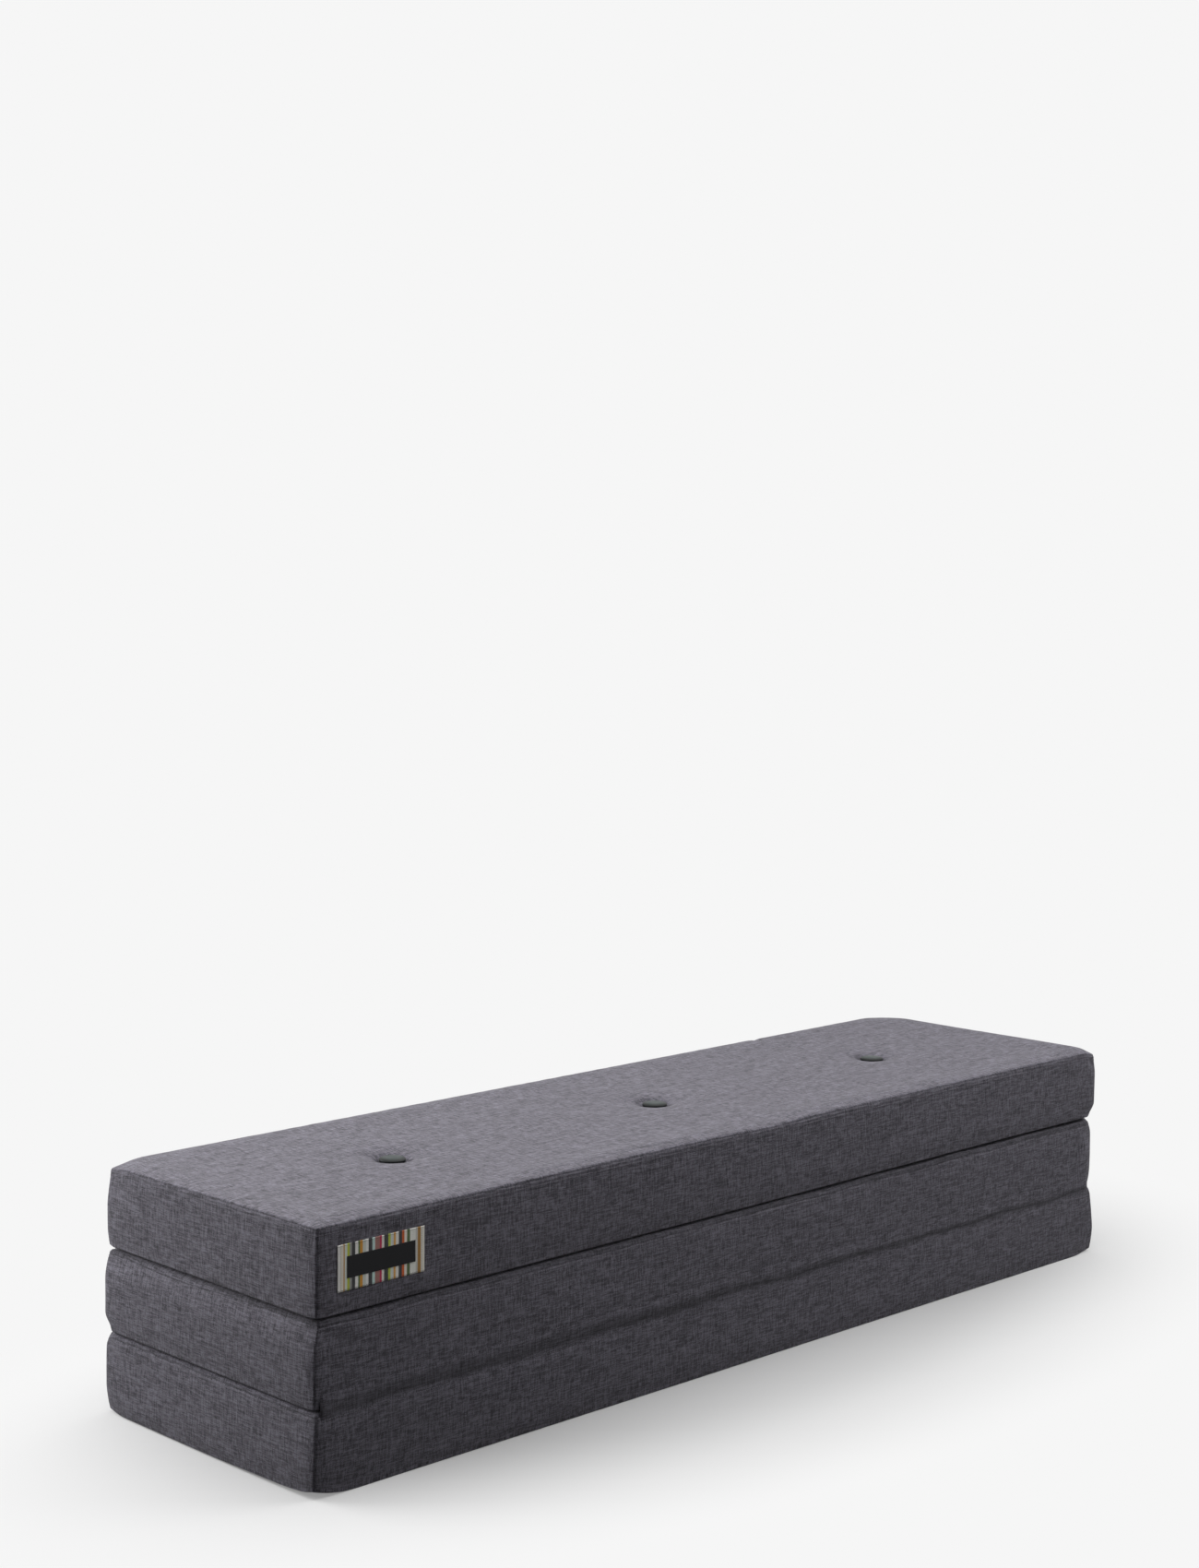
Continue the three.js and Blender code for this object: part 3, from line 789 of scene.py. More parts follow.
def bendCushion(section, points, climb):
    # each bend fades in over the millimetres that stand under the line in its smooth()
    name, height = section["name"], section["height"]
    halfLength, halfWidth, bend = section["halfLength"], section["halfWidth"], bends[name]
    x, y, z = points.T
    # where the two covers are sewn together the walls draw in towards the crease
    for side, atTop in hingeSides[name]:
        fromCrease = height - z if atTop else z
        if atTop:
            drawn = hingeDraw["below"] * (1 - smooth((fromCrease - 5) / 4))
        else:
            drawn = hingeDraw["above"] * hump(fromCrease, hingeDraw["aboveReach"])
        drawn = drawn * smooth((halfLength + 6 - np.abs(x)) / 30)
        y = y - side * drawn * (side * y > halfWidth - 25)
        endward = smooth((np.abs(x) - halfLength + 30) / 30) * hump(fromCrease, hingeDraw["endReach"])
        x = x - hingeDraw["end"] * endward * smooth(side * y / 120) * (x > 0)
    # from 0 to 1 towards the front wall and the two ends
    front = smooth((25 - y - halfWidth) / 18)
    left = smooth((-x - halfLength + 60) / 50)
    right = smooth((x - halfLength + 40) / 30)
    if name == "bottom":
        x = x + bend["rightOut"] * smooth((95 - z) / 80) * right * front
        z = z + bend["rimUp"] * hump(halfLength + x, bend["rimReach"]) * hump(z, bend["rimReach"])
        away = np.hypot(halfLength + x, halfWidth + y)
        raised = bend["cornerUp"] * np.clip(1 - away / bend["cornerReach"], 0, 1) ** 1.7
        raised = raised + bend["endUp"] * smooth((30 - y) / 280) * left
        z = z + raised * smooth((60 - z) / 60)
        inward = bend["footIn"] * smooth((105 - z) / 105) - bend["frontOut"]
        y = y + inward * smooth((-x - 100) / 700) * front
    elif name == "middle":
        toCorner = np.clip(1 - (halfLength - x + halfWidth + y) / bend["cornerReach"], 0, 1)
        y = y + bend["cornerIn"] * toCorner ** 1.5
        y = y - bend["lipOut"] * smooth((z - 106) / 13) * (y < 25 - halfWidth)
        x = x - (bend["endOut"] - bend["endLean"] * smooth((z - 74) / 46)) * left
    else:
        onFace = smooth((climb - section["topClimb"] - 5) / 80)
        dip = 1 - bend["dip"] * hump(x, bend["dipReach"]) * smooth(-y / 150)
        z = z + bend["rimUp"] * smooth((150 - y) / 350) * dip * smooth((z - 90) / 33) * (1 - onFace)
        notch = bend["notch"] * hump(x - bend["notchPlace"], bend["notchReach"])
        z = z - notch * smooth((y - 170) / 60) * smooth((z - 90) / 33)
        z = z + (bend["footUp"] + bend["footRise"] * smooth((x + 200) / 900)) * front * smooth((40 - z) / 40)
        x = x + bend["endIn"] * left * smooth((y + halfWidth) / 300)
    y = y + section["setBack"] * smooth((40 - halfWidth - y) / 30)
    return x, y, z


def foldTufts(section, x, y, face):
    # folds that run out of each tuft: how far they push the cloth, and how much they shade it
    seed = section["seed"]
    source = np.random.default_rng(seed + 6)
    ringed = folds["ringed"] * ripple(seed + 7, 9, x, y)
    push, shade = 0, 0
    for placeX in tuftPlaces:
        away, angle = np.hypot(x - placeX, y), np.arctan2(y, x - placeX)
        reach = face * smooth((away - folds["start"]) / folds["startFade"])
        reach = reach * (1 - smooth((away - folds["end"]) / folds["endFade"]))
        push = push + reach * ringed
        turns = source.uniform(-math.pi, math.pi, folds["count"])
        for number, turn in enumerate([folds["longTurn"], *turns]):
            width, deep = folds["longWidth"], folds["longDepth"]
            if number > 0:
                width, deep = source.uniform(*folds["width"]), source.uniform(*folds["depth"])
            apart = np.abs((angle - turn + math.pi) % (2 * math.pi) - math.pi)
            fold = reach * hump(apart * away, width) * (apart < folds["halfAngle"])
            push = push - deep * fold
            shade = shade + folds["shade"] * fold * (deep / folds["longDepth"])
    return push, shade


def dressCushion(section, piece):
    # seams, seam allowances, puckers, folds and wrinkles, on the final points, and the painted shade that
    # darkens the cloth in seams, folds and covered edges
    mesh, deep = piece.data, dressing
    halfLength, halfWidth, height = section["halfLength"], section["halfWidth"], section["height"]
    seed, name, topClimb = section["seed"], section["name"], section["topClimb"]
    points = pointsOf(mesh) * 1000 - section["middle"]
    normals = vectorsOf(mesh.vertices, "normal")
    sharpX, sharpY, climb = vectorsOf(mesh.attributes["place"].data, "vector").T
    x, y, z = points.T
    fromLong, fromEnd = halfWidth - np.abs(sharpY), halfLength - np.abs(sharpX)
    wall = smooth(climb / 6) * smooth((topClimb - climb) / 6)
    onLong = fromEnd >= fromLong
    ring = np.where(onLong, sharpX + np.sign(sharpY) * 6000, sharpY + np.sign(sharpX) * 3000)
    below = section["seamClimb"] - climb

    # the second sum is painted shade, from 0 to 1, which darkens the cloth's colour
    push, crease = np.zeros(len(points)), np.zeros(len(points))
    # the seam round the top, its allowance pressed down behind the wall, and the row of topstitches
    groove = hump(below, seams["width"])
    allowance = smooth((below - 0.8) / 1.2) * (1 - smooth((below - seams["ridgeWidth"]) / 2.5))
    stitched = deep["stitchDepth"] * hump(below - seams["stitchDrop"], 0.9)
    relief = 1 if section["rise"] else deep["hiddenRelief"]
    push += relief * (seams["ridge"] * allowance - seams["depth"] * groove - stitched)
    # painted shade in the seam's groove
    crease += groove
    pucker = ripple(seed, 17, ring) + 0.6 * ripple(seed + 1, 41, ring)
    push += deep["pucker"] * pucker * hump(below - 5, 12)
    # upright seams at the corners, with their allowance to one side
    fromCorner = fromLong + fromEnd
    upright = hump(fromCorner, 1.1) * wall
    side = smooth((fromCorner - 1) / 1.5) * (1 - smooth((fromCorner - 8.5) / 2)) * wall * onLong
    push += deep["sideRidge"] * side - deep["uprightDepth"] * upright
    # painted shade in the upright seam and beside its allowance
    crease += deep["uprightShade"] * upright
    crease += deep["sideShade"] * hump(fromCorner - 9.5, 1.2) * wall * onLong
    # the seam of the hem, underneath
    hem = hump(np.minimum(fromLong, fromEnd) - cushionShape["hem"], 1.3) * smooth(-climb / 3)
    push -= deep["hemDepth"] * hem
    # painted shade in the hem's seam
    crease += hem
    # the zip lies in a slot of the right end
    right = (sharpX > halfLength - 1) * smooth((fromLong - 12) / 3)
    fromZip = np.abs(z - height / 2) - seams["tapeHalf"]
    push -= deep["slotDepth"] * right * (1 - smooth((fromZip + 0.5) / 0.9))
    push += deep["slotLip"] * right * hump(fromZip - 3.5, 3)
    # the cloth lies a little slack over the foam
    coarse, fine = deep["wallSlack"]
    push += wall * (coarse * ripple(seed + 2, 140, ring, z) + fine * ripple(seed + 3, 46, ring, z * 1.4))
    coarse, fine = deep["faceSlack"]
    openFace = smooth((climb - topClimb) / 20) if section["rise"] else 0
    push += openFace * (coarse * ripple(seed + 4, 150, x, y) + fine * ripple(seed + 5, 52, x, y))
    face = smooth((climb - topClimb) / 10) if section["buttonsUp"] else smooth(-climb / 10)
    foldPush, foldShade = foldTufts(section, x, y, face)
    push += foldPush
    # painted shade in the folds
    crease += foldShade

    x, y, z = bendCushion(section, points + normals * push[:, None], climb)
    onWall = (climb > -0.5) * (climb < topClimb + 0.5)
    # painted shade on the middle cushion's upper edge under the top cushion, and on the edges where covers
    # lie on each other
    if name == "middle":
        crease += shades["lip"] * smooth((z - height + 11) / 3) * onWall
        crease += shades["lipEdge"] * smooth((z - height + 7.5) / 2) * onWall
    if name != "top":
        crease += shades["stacked"] * smooth((z - height + 4) / 2.5) * onWall
    if name != "bottom":
        crease += shades["stacked"] * smooth((2.6 - z) / 2.2) * onWall
    # what rests on something is flat, and the walls beside a hinge keep clear of each other
    low = cushionShape["flatten"]
    z = np.clip(z, low, 1e3 if section["rise"] else height - low)
    past = np.abs(y) - halfWidth + 0.35
    y = np.where(past > 0, np.sign(y) * (halfWidth + 0.15 - 0.5 * np.exp(-past / 0.5)), y)
    movePoints(mesh, mm(np.stack([x, y, z], 1) + section["middle"]))
    # the painted shade goes to the cloth's material
    addAttribute(mesh, "crease", np.clip(crease, 0, 1))
    mesh.attributes.remove(mesh.attributes["place"])


def heldShares(section, points, places):
    # 0 where the cover swells freely and 1 where it is held: underneath, at its seams and in the tufts
    climb, topClimb = places[:, 2], section["topClimb"]
    held = np.where(np.abs(climb - section["seamClimb"]) < 1, 0.9, 0)
    nearTuft = np.min([np.hypot(points[:, 0] - p, points[:, 1]) for p in tuftPlaces], axis=0)
    held = np.maximum(held, (climb <= 0.01) | (nearTuft < tufts["seatRadius"]) & (climb > topClimb))
    if not section["rise"]:
        held = np.maximum(held, climb >= topClimb - 0.01)
    return held.astype(float)


def addCushion(section):
    points, faces, cloth, places = cushionGrid(section)
    formed = formCushion(section, points, places)
    name = section["name"]
    piece = meshObject(f"{name}_cushion", mm(formed + section["middle"]), faces)
    mapCloth(piece.data, cloth + section["seed"] * 40)
    addAttribute(piece.data, "place", places, "FLOAT_VECTOR")
    openFace = (places[:, 2] > section["topClimb"]) * (section["rise"] > 0)
    caps = mm(np.where(openFace, swell["faceCap"], swell["cap"]))
    swellCushion(section, piece, heldShares(section, points, places), caps)
    finer = piece.modifiers.new("finer", "SUBSURF")
    finer.levels = finer.render_levels = 1
    finer.uv_smooth = "NONE"
    bakeModifiers(piece)
    dressCushion(section, piece)
    finish(piece, linen)
    mesh = piece.data
    section["tree"] = BVHTree.FromPolygons([v.co for v in mesh.vertices], [p.vertices for p in mesh.polygons])
    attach(piece, f"{name}_section")
    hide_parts(*(f"{name}_{part}" for part in (
        "foam_core", "upper_panel", "lower_panel", "front_side", "back_side", "left_end",
        "right_end_upper", "right_end_lower")))
    print(f"{name} cushion: {len(mesh.polygons)} faces")


for section in sections:
    measureSection(section)
    addCushion(section)


# Buttons and anchors

def turned(name, profile, segments):
    # a profile of radius and height pairs turned round Z, closed at both ends on the axis
    profile = np.asarray(profile, float)
    ringPoints = [(r * math.cos(2 * math.pi * s / segments), r * math.sin(2 * math.pi * s / segments), z)
                  for r, z in profile[1:-1] for s in range(segments)]
    rings = len(profile) - 2
    points = ringPoints + [(0, 0, profile[0][1]), (0, 0, profile[-1][1])]
    faces = []
    for ring in range(rings - 1):
        for s in range(segments):
            after = (s + 1) % segments
            a, b = ring * segments, (ring + 1) * segments
            faces.append([a + s, a + after, b + after, b + s])
    for s in range(segments):
        after = (s + 1) % segments
        faces.append([rings * segments, after, s])
        faces.append([rings * segments + 1, (rings - 1) * segments + s, (rings - 1) * segments + after])
    return meshObject(name, mm(points), faces)


def buttonProfile():
    radius, thick, rim = tufts["buttonRadius"], tufts["buttonThickness"], tufts["buttonRim"]
    profile = [(0, 0.6), (radius * 0.6, 0.6), (radius * 0.72, 0), (radius * 0.86, 0.1), (radius * 0.96, 0.9),
               (radius, rim)]
    for angle in np.radians([12, 24, 36, 47, 58, 68, 76, 84, 90]):
        profile.append((radius * math.cos(angle) ** 0.7, rim + (thick - rim) * math.sin(angle)))
    profile[-1] = (0, thick)
    return profile


def anchorProfile():
    radius, thick = tufts["anchorRadius"], tufts["anchorThickness"]
    return [(0, 0.9), (2.2, 0.9), (2.9, 0.2), (4, 0), (5, 0.5), (radius - 3, 0.5), (radius - 2.2, 0),
            (radius - 0.8, 0.1), (radius, 0.8), (radius, thick - 0.8), (radius - 0.6, thick), (2.4, thick),
            (1.5, thick + 0.8), (1.5, thick + 6), (0, thick + 6)]


def addTufts(section):
    name = section["name"]
    buttonFoot = section["height"] + section["rise"] - tufts["buttonSink"] - tufts["buttonThickness"]
    for number, placeX in enumerate(tuftPlaces, 1):
        for part, profile, foot, material, slot in (
                ("button", buttonProfile(), buttonFoot, nylonButton, "button"),
                ("anchor", anchorProfile(), tufts["anchorSink"], nylonDisc, "tuft_anchor")):
            piece = turned(f"{name}_{part}_{number}_turned", profile, 48)
            points = pointsOf(piece.data) * 1000 + (placeX, 0, foot)
            if not section["buttonsUp"]:
                points = points * (1, -1, -1) + (0, 0, section["height"])
            if part == "button":
                # painted shade: 0 in the middle of the button and 1 at its edge
                away = np.hypot(points[:, 0] - placeX, points[:, 1]) / tufts["buttonRadius"]
                addAttribute(piece.data, "rim", smooth((away - 0.5) / 0.42))
            movePoints(piece.data, mm(points + section["middle"]))
            weld([piece.data], piece.data, 1e-5)
            finish(piece, material)
            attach(piece, f"{name}_section")
            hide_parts(f"{name}_{part}_{number}")


for section in sections:
    addTufts(section)
print("buttons and anchors made")


# Threads and zip teeth repeat along a path

def pathTree(name, sizes):
    # its named sizes, and points on its path that are one pitch apart
    tree = bpy.data.node_groups.new(name, "GeometryNodeTree")
    tree.interface.new_socket("Geometry", in_out="INPUT", socket_type="NodeSocketGeometry")
    for size in sizes:
        tree.interface.new_socket(size, in_out="INPUT", socket_type="NodeSocketFloat")
    tree.interface.new_socket("Material", in_out="INPUT", socket_type="NodeSocketMaterial")
    tree.interface.new_socket("Geometry", in_out="OUTPUT", socket_type="NodeSocketGeometry")
    given = addNode(tree, "NodeGroupInput").outputs
    curve = addNode(tree, "GeometryNodeMeshToCurve", {"Mesh": given["Geometry"]})
    points = addNode(tree, "GeometryNodeResampleCurve", {"Curve": curve.outputs[0], "Length": given["Pitch"]},
                     mode="LENGTH")
    return tree, given, points.outputs[0]


def layBalls(tree, given, points, length, segments, rings, **turn):
    # at each point a ball that is stretched to the given thickness and length
    ball = addNode(tree, "GeometryNodeMeshUVSphere", {"Segments": segments, "Rings": rings, "Radius": 0.5})
    size = combined(tree, given["Thickness"], given["Thickness"], length)
    bead = addNode(tree, "GeometryNodeTransform", {"Geometry": ball.outputs[0], "Scale": size})
    laid = addNode(tree, "GeometryNodeInstanceOnPoints",
                   {"Points": points, "Instance": bead.outputs[0], **turn})
    real = addNode(tree, "GeometryNodeRealizeInstances", {0: laid.outputs[0]})
    coated = addNode(tree, "GeometryNodeSetMaterial",
                     {"Geometry": real.outputs[0], "Material": given["Material"]})
    addNode(tree, "NodeGroupOutput", {0: coated.outputs[0]})
    return tree


def stitchRow():
    # short rounded stitches laid end to end along the path, with a gap where the thread dives
    tree, given, points = pathTree("stitchRow", ["Pitch", "Length", "Thickness"])
    tangent = addNode(tree, "GeometryNodeInputTangent").outputs[0]
    turn = addNode(tree, "FunctionNodeAlignRotationToVector", {"Vector": tangent}, axis="Z").outputs[0]
    return layBalls(tree, given, points, given["Length"], 6, 4, Rotation=turn)


def zipCoil():
    # the turns of a nylon coil, which reach in from the two tapes by turns
    tree, given, points = pathTree("zipCoil", ["Pitch", "Reach", "Thickness", "Side"])
    parity = calculate(tree, "MODULO", addNode(tree, "GeometryNodeInputIndex").outputs[0], 2)
    shift = calculate(tree, "MULTIPLY", calculate(tree, "MULTIPLY_ADD", parity, 2, -1), given["Side"])
    aside = combined(tree, 0, 0, shift)
    moved = addNode(tree, "GeometryNodeSetPosition", {"Geometry": points, "Offset": aside})
    return layBalls(tree, given, moved.outputs[0], given["Reach"], 8, 6)


def grow(name, tree, paths, material, sizes):
    # paths are runs of points in millimetres, sizes the tree's named inputs in millimetres
    points, edges = [], []
    for path in paths:
        first = len(points)
        points.extend(path)
        edges.extend((first + at, first + at + 1) for at in range(len(path) - 1))
    piece = meshObject(name, mm(points), [], edges)
    modifier = piece.modifiers.new("grow", "NODES")
    modifier.node_group = tree
    sockets = {item.name: item.identifier for item in tree.interface.items_tree if item.in_out == "INPUT"}
    for size, value in sizes.items():
        modifier[sockets[size]] = value / 1000
    modifier[sockets["Material"]] = material
    bakeModifiers(piece)
    return finish(piece, material)


stitches, coil = stitchRow(), zipCoil()


def hitWall(tree, start, heading):
    # the first point of the surface along a ray, in millimetres, or None
    found = tree.ray_cast(Vector(mm(start)), Vector(heading))[0]
    return None if found is None else np.array(found) * 1000


# Polyester sewing thread: tight round twist with a slight sheen
def sewingThread(name, code):
    material, tree = newMaterial(name)
    twist = noise(tree, objectPlace(tree), 2200, 1)
    colour = scaled(tree, paint(code)[:3], mapped(tree, twist, usualNoise, (0.75, 1.2)))
    addSurface(tree, colour, Roughness=0.6, Specular_IOR_Level=0.35)
    return material


coverThread = sewingThread("greyPolyesterThread", "#6a676f")

topstitch = {"Pitch": 4.2, "Length": 3.3, "Thickness": 0.75}


def addTopstitch(section):
    insets, heights, climbs = levelsOf(section)
    climb = section["seamClimb"] - seams["stitchDrop"]
    z = float(np.interp(climb, climbs, heights))
    inset = float(np.interp(climb, climbs, insets))
    half, wide = section["halfLength"], section["halfWidth"]
    xs, ys = np.arange(-half, half, 6.0), np.arange(-wide, wide, 6.0)
    ringX = np.concatenate([xs, np.full(len(ys), half), -xs, np.full(len(ys), -half)])
    ringY = np.concatenate([np.full(len(xs), -wide), ys, np.full(len(xs), wide), -ys])
    x, y = roundCorner(settled(ringX, half, inset), settled(ringY, wide, inset), section, inset)
    path = []
    for place in np.stack([x, y, np.full(len(x), z)], 1) + section["middle"]:
        spot, normal = section["tree"].find_nearest(Vector(mm(place)))[:2]
        path.append(np.array(spot + normal * 0.00012) * 1000)
    path.append(path[0])
    piece = grow(f"{section['name']}_topstitch", stitches, [path], coverThread, topstitch)
    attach(piece, f"{section['name']}_section")


for section in sections:
    addTopstitch(section)
print("topstitches sewn")


# Gussets: the cloth that joins two covers over a fold

gusset = {
    "rows": [-15, -12, -9.5, -7.5, -5.8, -4.4, -3.2, -2.2, -1.4, -0.8, -0.45, -0.15, 0.15, 0.45, 0.8, 1.4,
             2.2, 3.2, 4.4, 6, 8, 10.5, 13.5, 17, 21, 25],
    "valley": 0.3,  # how deep the crease is, and how far it runs below the hinge
    "valleyReach": 1.3,
    "creaseDrop": 4.5,
    "reachAbove": (20, 9),  # how high the cloth bends out again, from the left end to the right one
    "reachPlaces": (-500, 400),
    "shade": (0.95, 0.6),
    "shadePlaces": (-800, 300),
    "hug": 0.22,  # how far the cloth lies over the covers
    "sharpness": 5,
    "gap": 6,
    "thickness": 0.5,
    "clothStart": (60, 40),
}


def addGusset(name, replaced, hinge, lower, upper, side, ends):
    settings = gusset
    axis = np.array(hinge["pos_m"]) * 1000
    # it stops short of the rounded corners, so that it stays hidden between the opened sections
    half, centre = lower["halfLength"], lower["middle"][0]
    along = spread(ends[0] - half, half - ends[1], lambda place: settings["gap"])
    xs, rows = along + centre, np.array(settings["rows"], float)
    wave = 1.6 * ripple(71, 120, xs) + 0.7 * ripple(72, 38, xs)
    outer, hug, sharp = side * axis[1] - 0.4, settings["hug"], settings["sharpness"]
    points = []
    for x, swing in zip(xs, wave):
        reach = []
        for z in axis[2] + rows:
            hits = [hitWall(s["tree"], (x, axis[1] + side * 60, z), (0, -side, 0)) for s in (lower, upper)]
            reach.append(max([side * h[1] for h in hits if h is not None], default=-1e4))
        reach = np.array(reach)
        low, high = reach[rows < -7].max(), reach[rows > 12].max()
        fromCrease = rows + settings["creaseDrop"] - swing
        above = np.interp(x, settings["reachPlaces"], settings["reachAbove"])
        line = low + (high - low) * (1 - (1 - np.clip(fromCrease / above, 0, 1)) ** 1.5)
        valley = np.minimum(line, outer) - settings["valley"] * hump(fromCrease, settings["valleyReach"])
        covered = np.where(rows > -9.5, np.minimum(reach, line - 0.7), reach)
        # a soft maximum of the two
        both = np.exp((covered + hug - outer) * sharp) + np.exp((valley - outer) * sharp)
        both = np.log(both) / sharp + outer
        both[0], both[-1] = reach[0] - 0.4, reach[-1] - 0.4
        both[1], both[-2] = reach[1] + 0.12, reach[-2] + 0.12
        points.extend(np.stack([np.full(len(rows), x), side * both, axis[2] + rows], 1))
    # painted shade along the crease and in a band above it, stronger towards the left end
    fromCrease = rows[None, :] + settings["creaseDrop"] - wave[:, None]
    above = np.interp(along, settings["reachPlaces"], settings["reachAbove"])[:, None]
    strength = np.interp(along, settings["shadePlaces"], settings["shade"])[:, None]
    shadedBand = smooth((fromCrease + 5) / 4) * (1 - smooth((fromCrease / above - 0.45) / 0.65))
    crease = 0.45 * hump(fromCrease, 3.5) + strength * shadedBand
    across, up = (place + start + lower["seed"] * 40
                  for place, start in zip((along, rows), settings["clothStart"]))
    piece = addSheet(name, points, across, up, settings["thickness"], linen, side > 0, crease)
    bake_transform(piece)
    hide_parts(replaced)


bottom, middle, top = sections
addGusset("front_hinge_gusset", "front_hinge_seam", joints["middle_fold"], bottom, middle, -1, (9, 19))
addGusset("back_hinge_gusset", "back_hinge_seam", joints["top_fold"], middle, top, 1, (19, 19))
print("gussets sewn")


# Label: a striped woven ribbon with folded ends, and a bare patch on it

label = {
    "lift": 0.3,
    "thickness": 0.5,
    "gap": 1,
    "foldWidth": 9,
    "foldRise": 0.45,
    "edgeSink": 0.15,
    "wave": 0.12,
    "patchRise": 0.5,
    "patchThickness": 0.4,
    "ribPitch": 0.7,  # coarser than the real 0.35, which would not show
    "stitchInset": 1.9,
    "foldStitchInset": 3,
    "edgeStitch": {"Pitch": 3, "Length": 2.5, "Thickness": 0.5},
    "foldStitch": {"Pitch": 2.6, "Length": 1.9, "Thickness": 0.5},
    "endColour": "#f6f1e6",
    "stripes": [  # width in millimetres and colour, from the left end
        (4.2, "#fdfaf5"), (4, "#f1eadc"), (2.4, "#c39a64"), (3.6, "#eef3ea"), (3.2, "#c3cd4c"),
        (3.4, "#a9a9a4"), (5, "#0e0e10"), (4.2, "#fffdf8"), (2.6, "#56703f"), (4, "#dd9a3c"),
        (4.6, "#dbe0d6"), (4.2, "#fffdf8"), (5.4, "#0d0d0f"), (4.2, "#d3ece6"), (7.4, "#a3746c"),
        (3, "#c02450"), (3.6, "#fbf6ec"), (5.6, "#0f0f11"), (4, "#c4d157"), (4.4, "#e6e9e2"),
        (3.2, "#e8ac58"), (4.2, "#fdf9f0"), (5.4, "#0e0e10"), (3.6, "#d4632f"), (3.8, "#fbefe2"),
        (4.4, "#51633a"), (8.6, "#fbfbf4"), (3.4, "#d6d5d0"), (3.8, "#b58a4e"),
    ],
}


# Jacquard ribbon: fine polyester ribs, stripes dyed in the yarn, a soft low gloss; the colour is painted
# lighter and darker along the ribs as painted shade, and varies at random with the yarn
def stripedRibbon(name, settings, width):
    material, tree = newMaterial(name)
    uv = clothMap(tree)
    across, up = splitPlace(tree, scaled(tree, uv, 1000))
    ramp = addNode(tree, "ShaderNodeValToRGB", {"Fac": calculate(tree, "DIVIDE", across, width)})
    stops = ramp.color_ramp
    stops.interpolation = "CONSTANT"
    total, at = sum(stripe for stripe, _ in settings["stripes"]), 0
    for number, (stripe, code) in enumerate(settings["stripes"]):
        stop = stops.elements[0] if number == 0 else stops.elements.new(at)
        stop.position, stop.color = at, paint(code)
        at += stripe / total * 0.95
    last = stops.elements[-1]
    last.position, last.color = 0.955, paint(settings["endColour"])
    rib = calculate(tree, "SINE", calculate(tree, "MULTIPLY", up, 2 * math.pi / settings["ribPitch"]))
    # painted shade along the ribs, and the yarn's random tone
    ribShadeAndTone = calculate(tree, "MULTIPLY_ADD", rib, 0.1, noise(tree, uv, 1500, 2))
    colour = scaled(tree, ramp.outputs["Color"], mapped(tree, ribShadeAndTone, (0.25, 0.75), (0.8, 1.12)))
    addSurface(tree, colour, Normal=bumped(tree, rib, 0.3, 0.0002), Roughness=0.62, Sheen_Weight=0.1,
               Specular_IOR_Level=0.35)
    return material


# Black satin-woven polyester patch: close floating yarns, so it shines more than the linen
def satinPatch(name):
    material, tree = newMaterial(name)
    yarnPlace = addNode(tree, "ShaderNodeVectorMath", {0: clothMap(tree), 1: (900, 2600, 0)},
                        operation="MULTIPLY")
    yarn = noise(tree, yarnPlace.outputs[0], 1, 2)
    colour = scaled(tree, paint("#18181a")[:3], mapped(tree, yarn, usualNoise, (0.7, 1.4)))
    addSurface(tree, colour, Normal=bumped(tree, yarn, 0.2, 0.0002), Roughness=0.6, Specular_IOR_Level=0.12)
    return material


def frontWall(x, z):
    return hitWall(top["tree"], (x, -400, z), (0, 1, 0))[1]


def labelSheet(name, low, high, relief, material, thickness):
    # a sheet of the label, which follows the front wall of the top cushion
    xs, zs = (spread(start, end, lambda place: label["gap"]) for start, end in zip(low, high))
    points = [(x, frontWall(x, z) - label["lift"] - relief(x - low[0], z - low[1]), z)
              for x in xs for z in zs]
    return addSheet(name, points, xs - low[0], zs - low[1], thickness, material)


def addLabel():
    low, high = (np.array(corner)[[0, 2]] * 1000 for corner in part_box("label_ribbon"))
    patchLow, patchHigh = (np.array(corner)[[0, 2]] * 1000 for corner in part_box("label_plate"))
    (width, height), offset = high - low, patchLow - low

    def ribbonRelief(across, up):
        folded = 1 - float(smooth((min(across, width - across) - label["foldWidth"]) / 0.8))
        edge = float(hump(min(up, height - up), 1.2))
        wave = label["wave"] * float(ripple(91, 24, across, up))
        return label["thickness"] + label["foldRise"] * folded - label["edgeSink"] * edge + wave

    def patchRelief(across, up):
        return ribbonRelief(across + offset[0], up + offset[1]) + label["patchRise"]

    def sewn(start, end, steps=60):
        run = []
        for across, up in (start + (end - start) * share for share in np.linspace(0, 1, steps)):
            x, z = low[0] + across, low[1] + up
            run.append((x, frontWall(x, z) - label["lift"] - ribbonRelief(across, up) - 0.08, z))
        return run

    ribbon = labelSheet("label_ribbon_woven", low, high, ribbonRelief,
                        stripedRibbon("stripedJacquardRibbon", label, width), label["thickness"])
    patch = labelSheet("label_plate_satin", patchLow, patchHigh, patchRelief, satinPatch("blackSatinPatch"),
                       label["patchThickness"])
    inset, aside = label["stitchInset"], label["foldStitchInset"]
    corners = np.array([(inset, inset), (width - inset, inset), (width - inset, height - inset),
                        (inset, height - inset)])
    dark = grow("label_edge_stitches", stitches,
                [sewn(corners[0], corners[1], 120), sewn(corners[3], corners[2], 120)],
                sewingThread("blackPolyesterThread", "#26252a"), label["edgeStitch"])
    grey = grow("label_fold_stitches", stitches,
                [sewn(corners[0] + (aside, aside), corners[3] + (aside, -aside)),
                 sewn(corners[1] + (-aside, aside), corners[2] + (-aside, -aside))],
                sewingThread("stonePolyesterThread", "#8e887a"), label["foldStitch"])
    for piece in (ribbon, patch, dark, grey):
        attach(piece, "top_section")
    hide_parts("label_ribbon")
    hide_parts("label_plate")


addLabel()
print("label sewn")


# Zips at the right end: herringbone tape, nylon coil, die-cast slider and pull

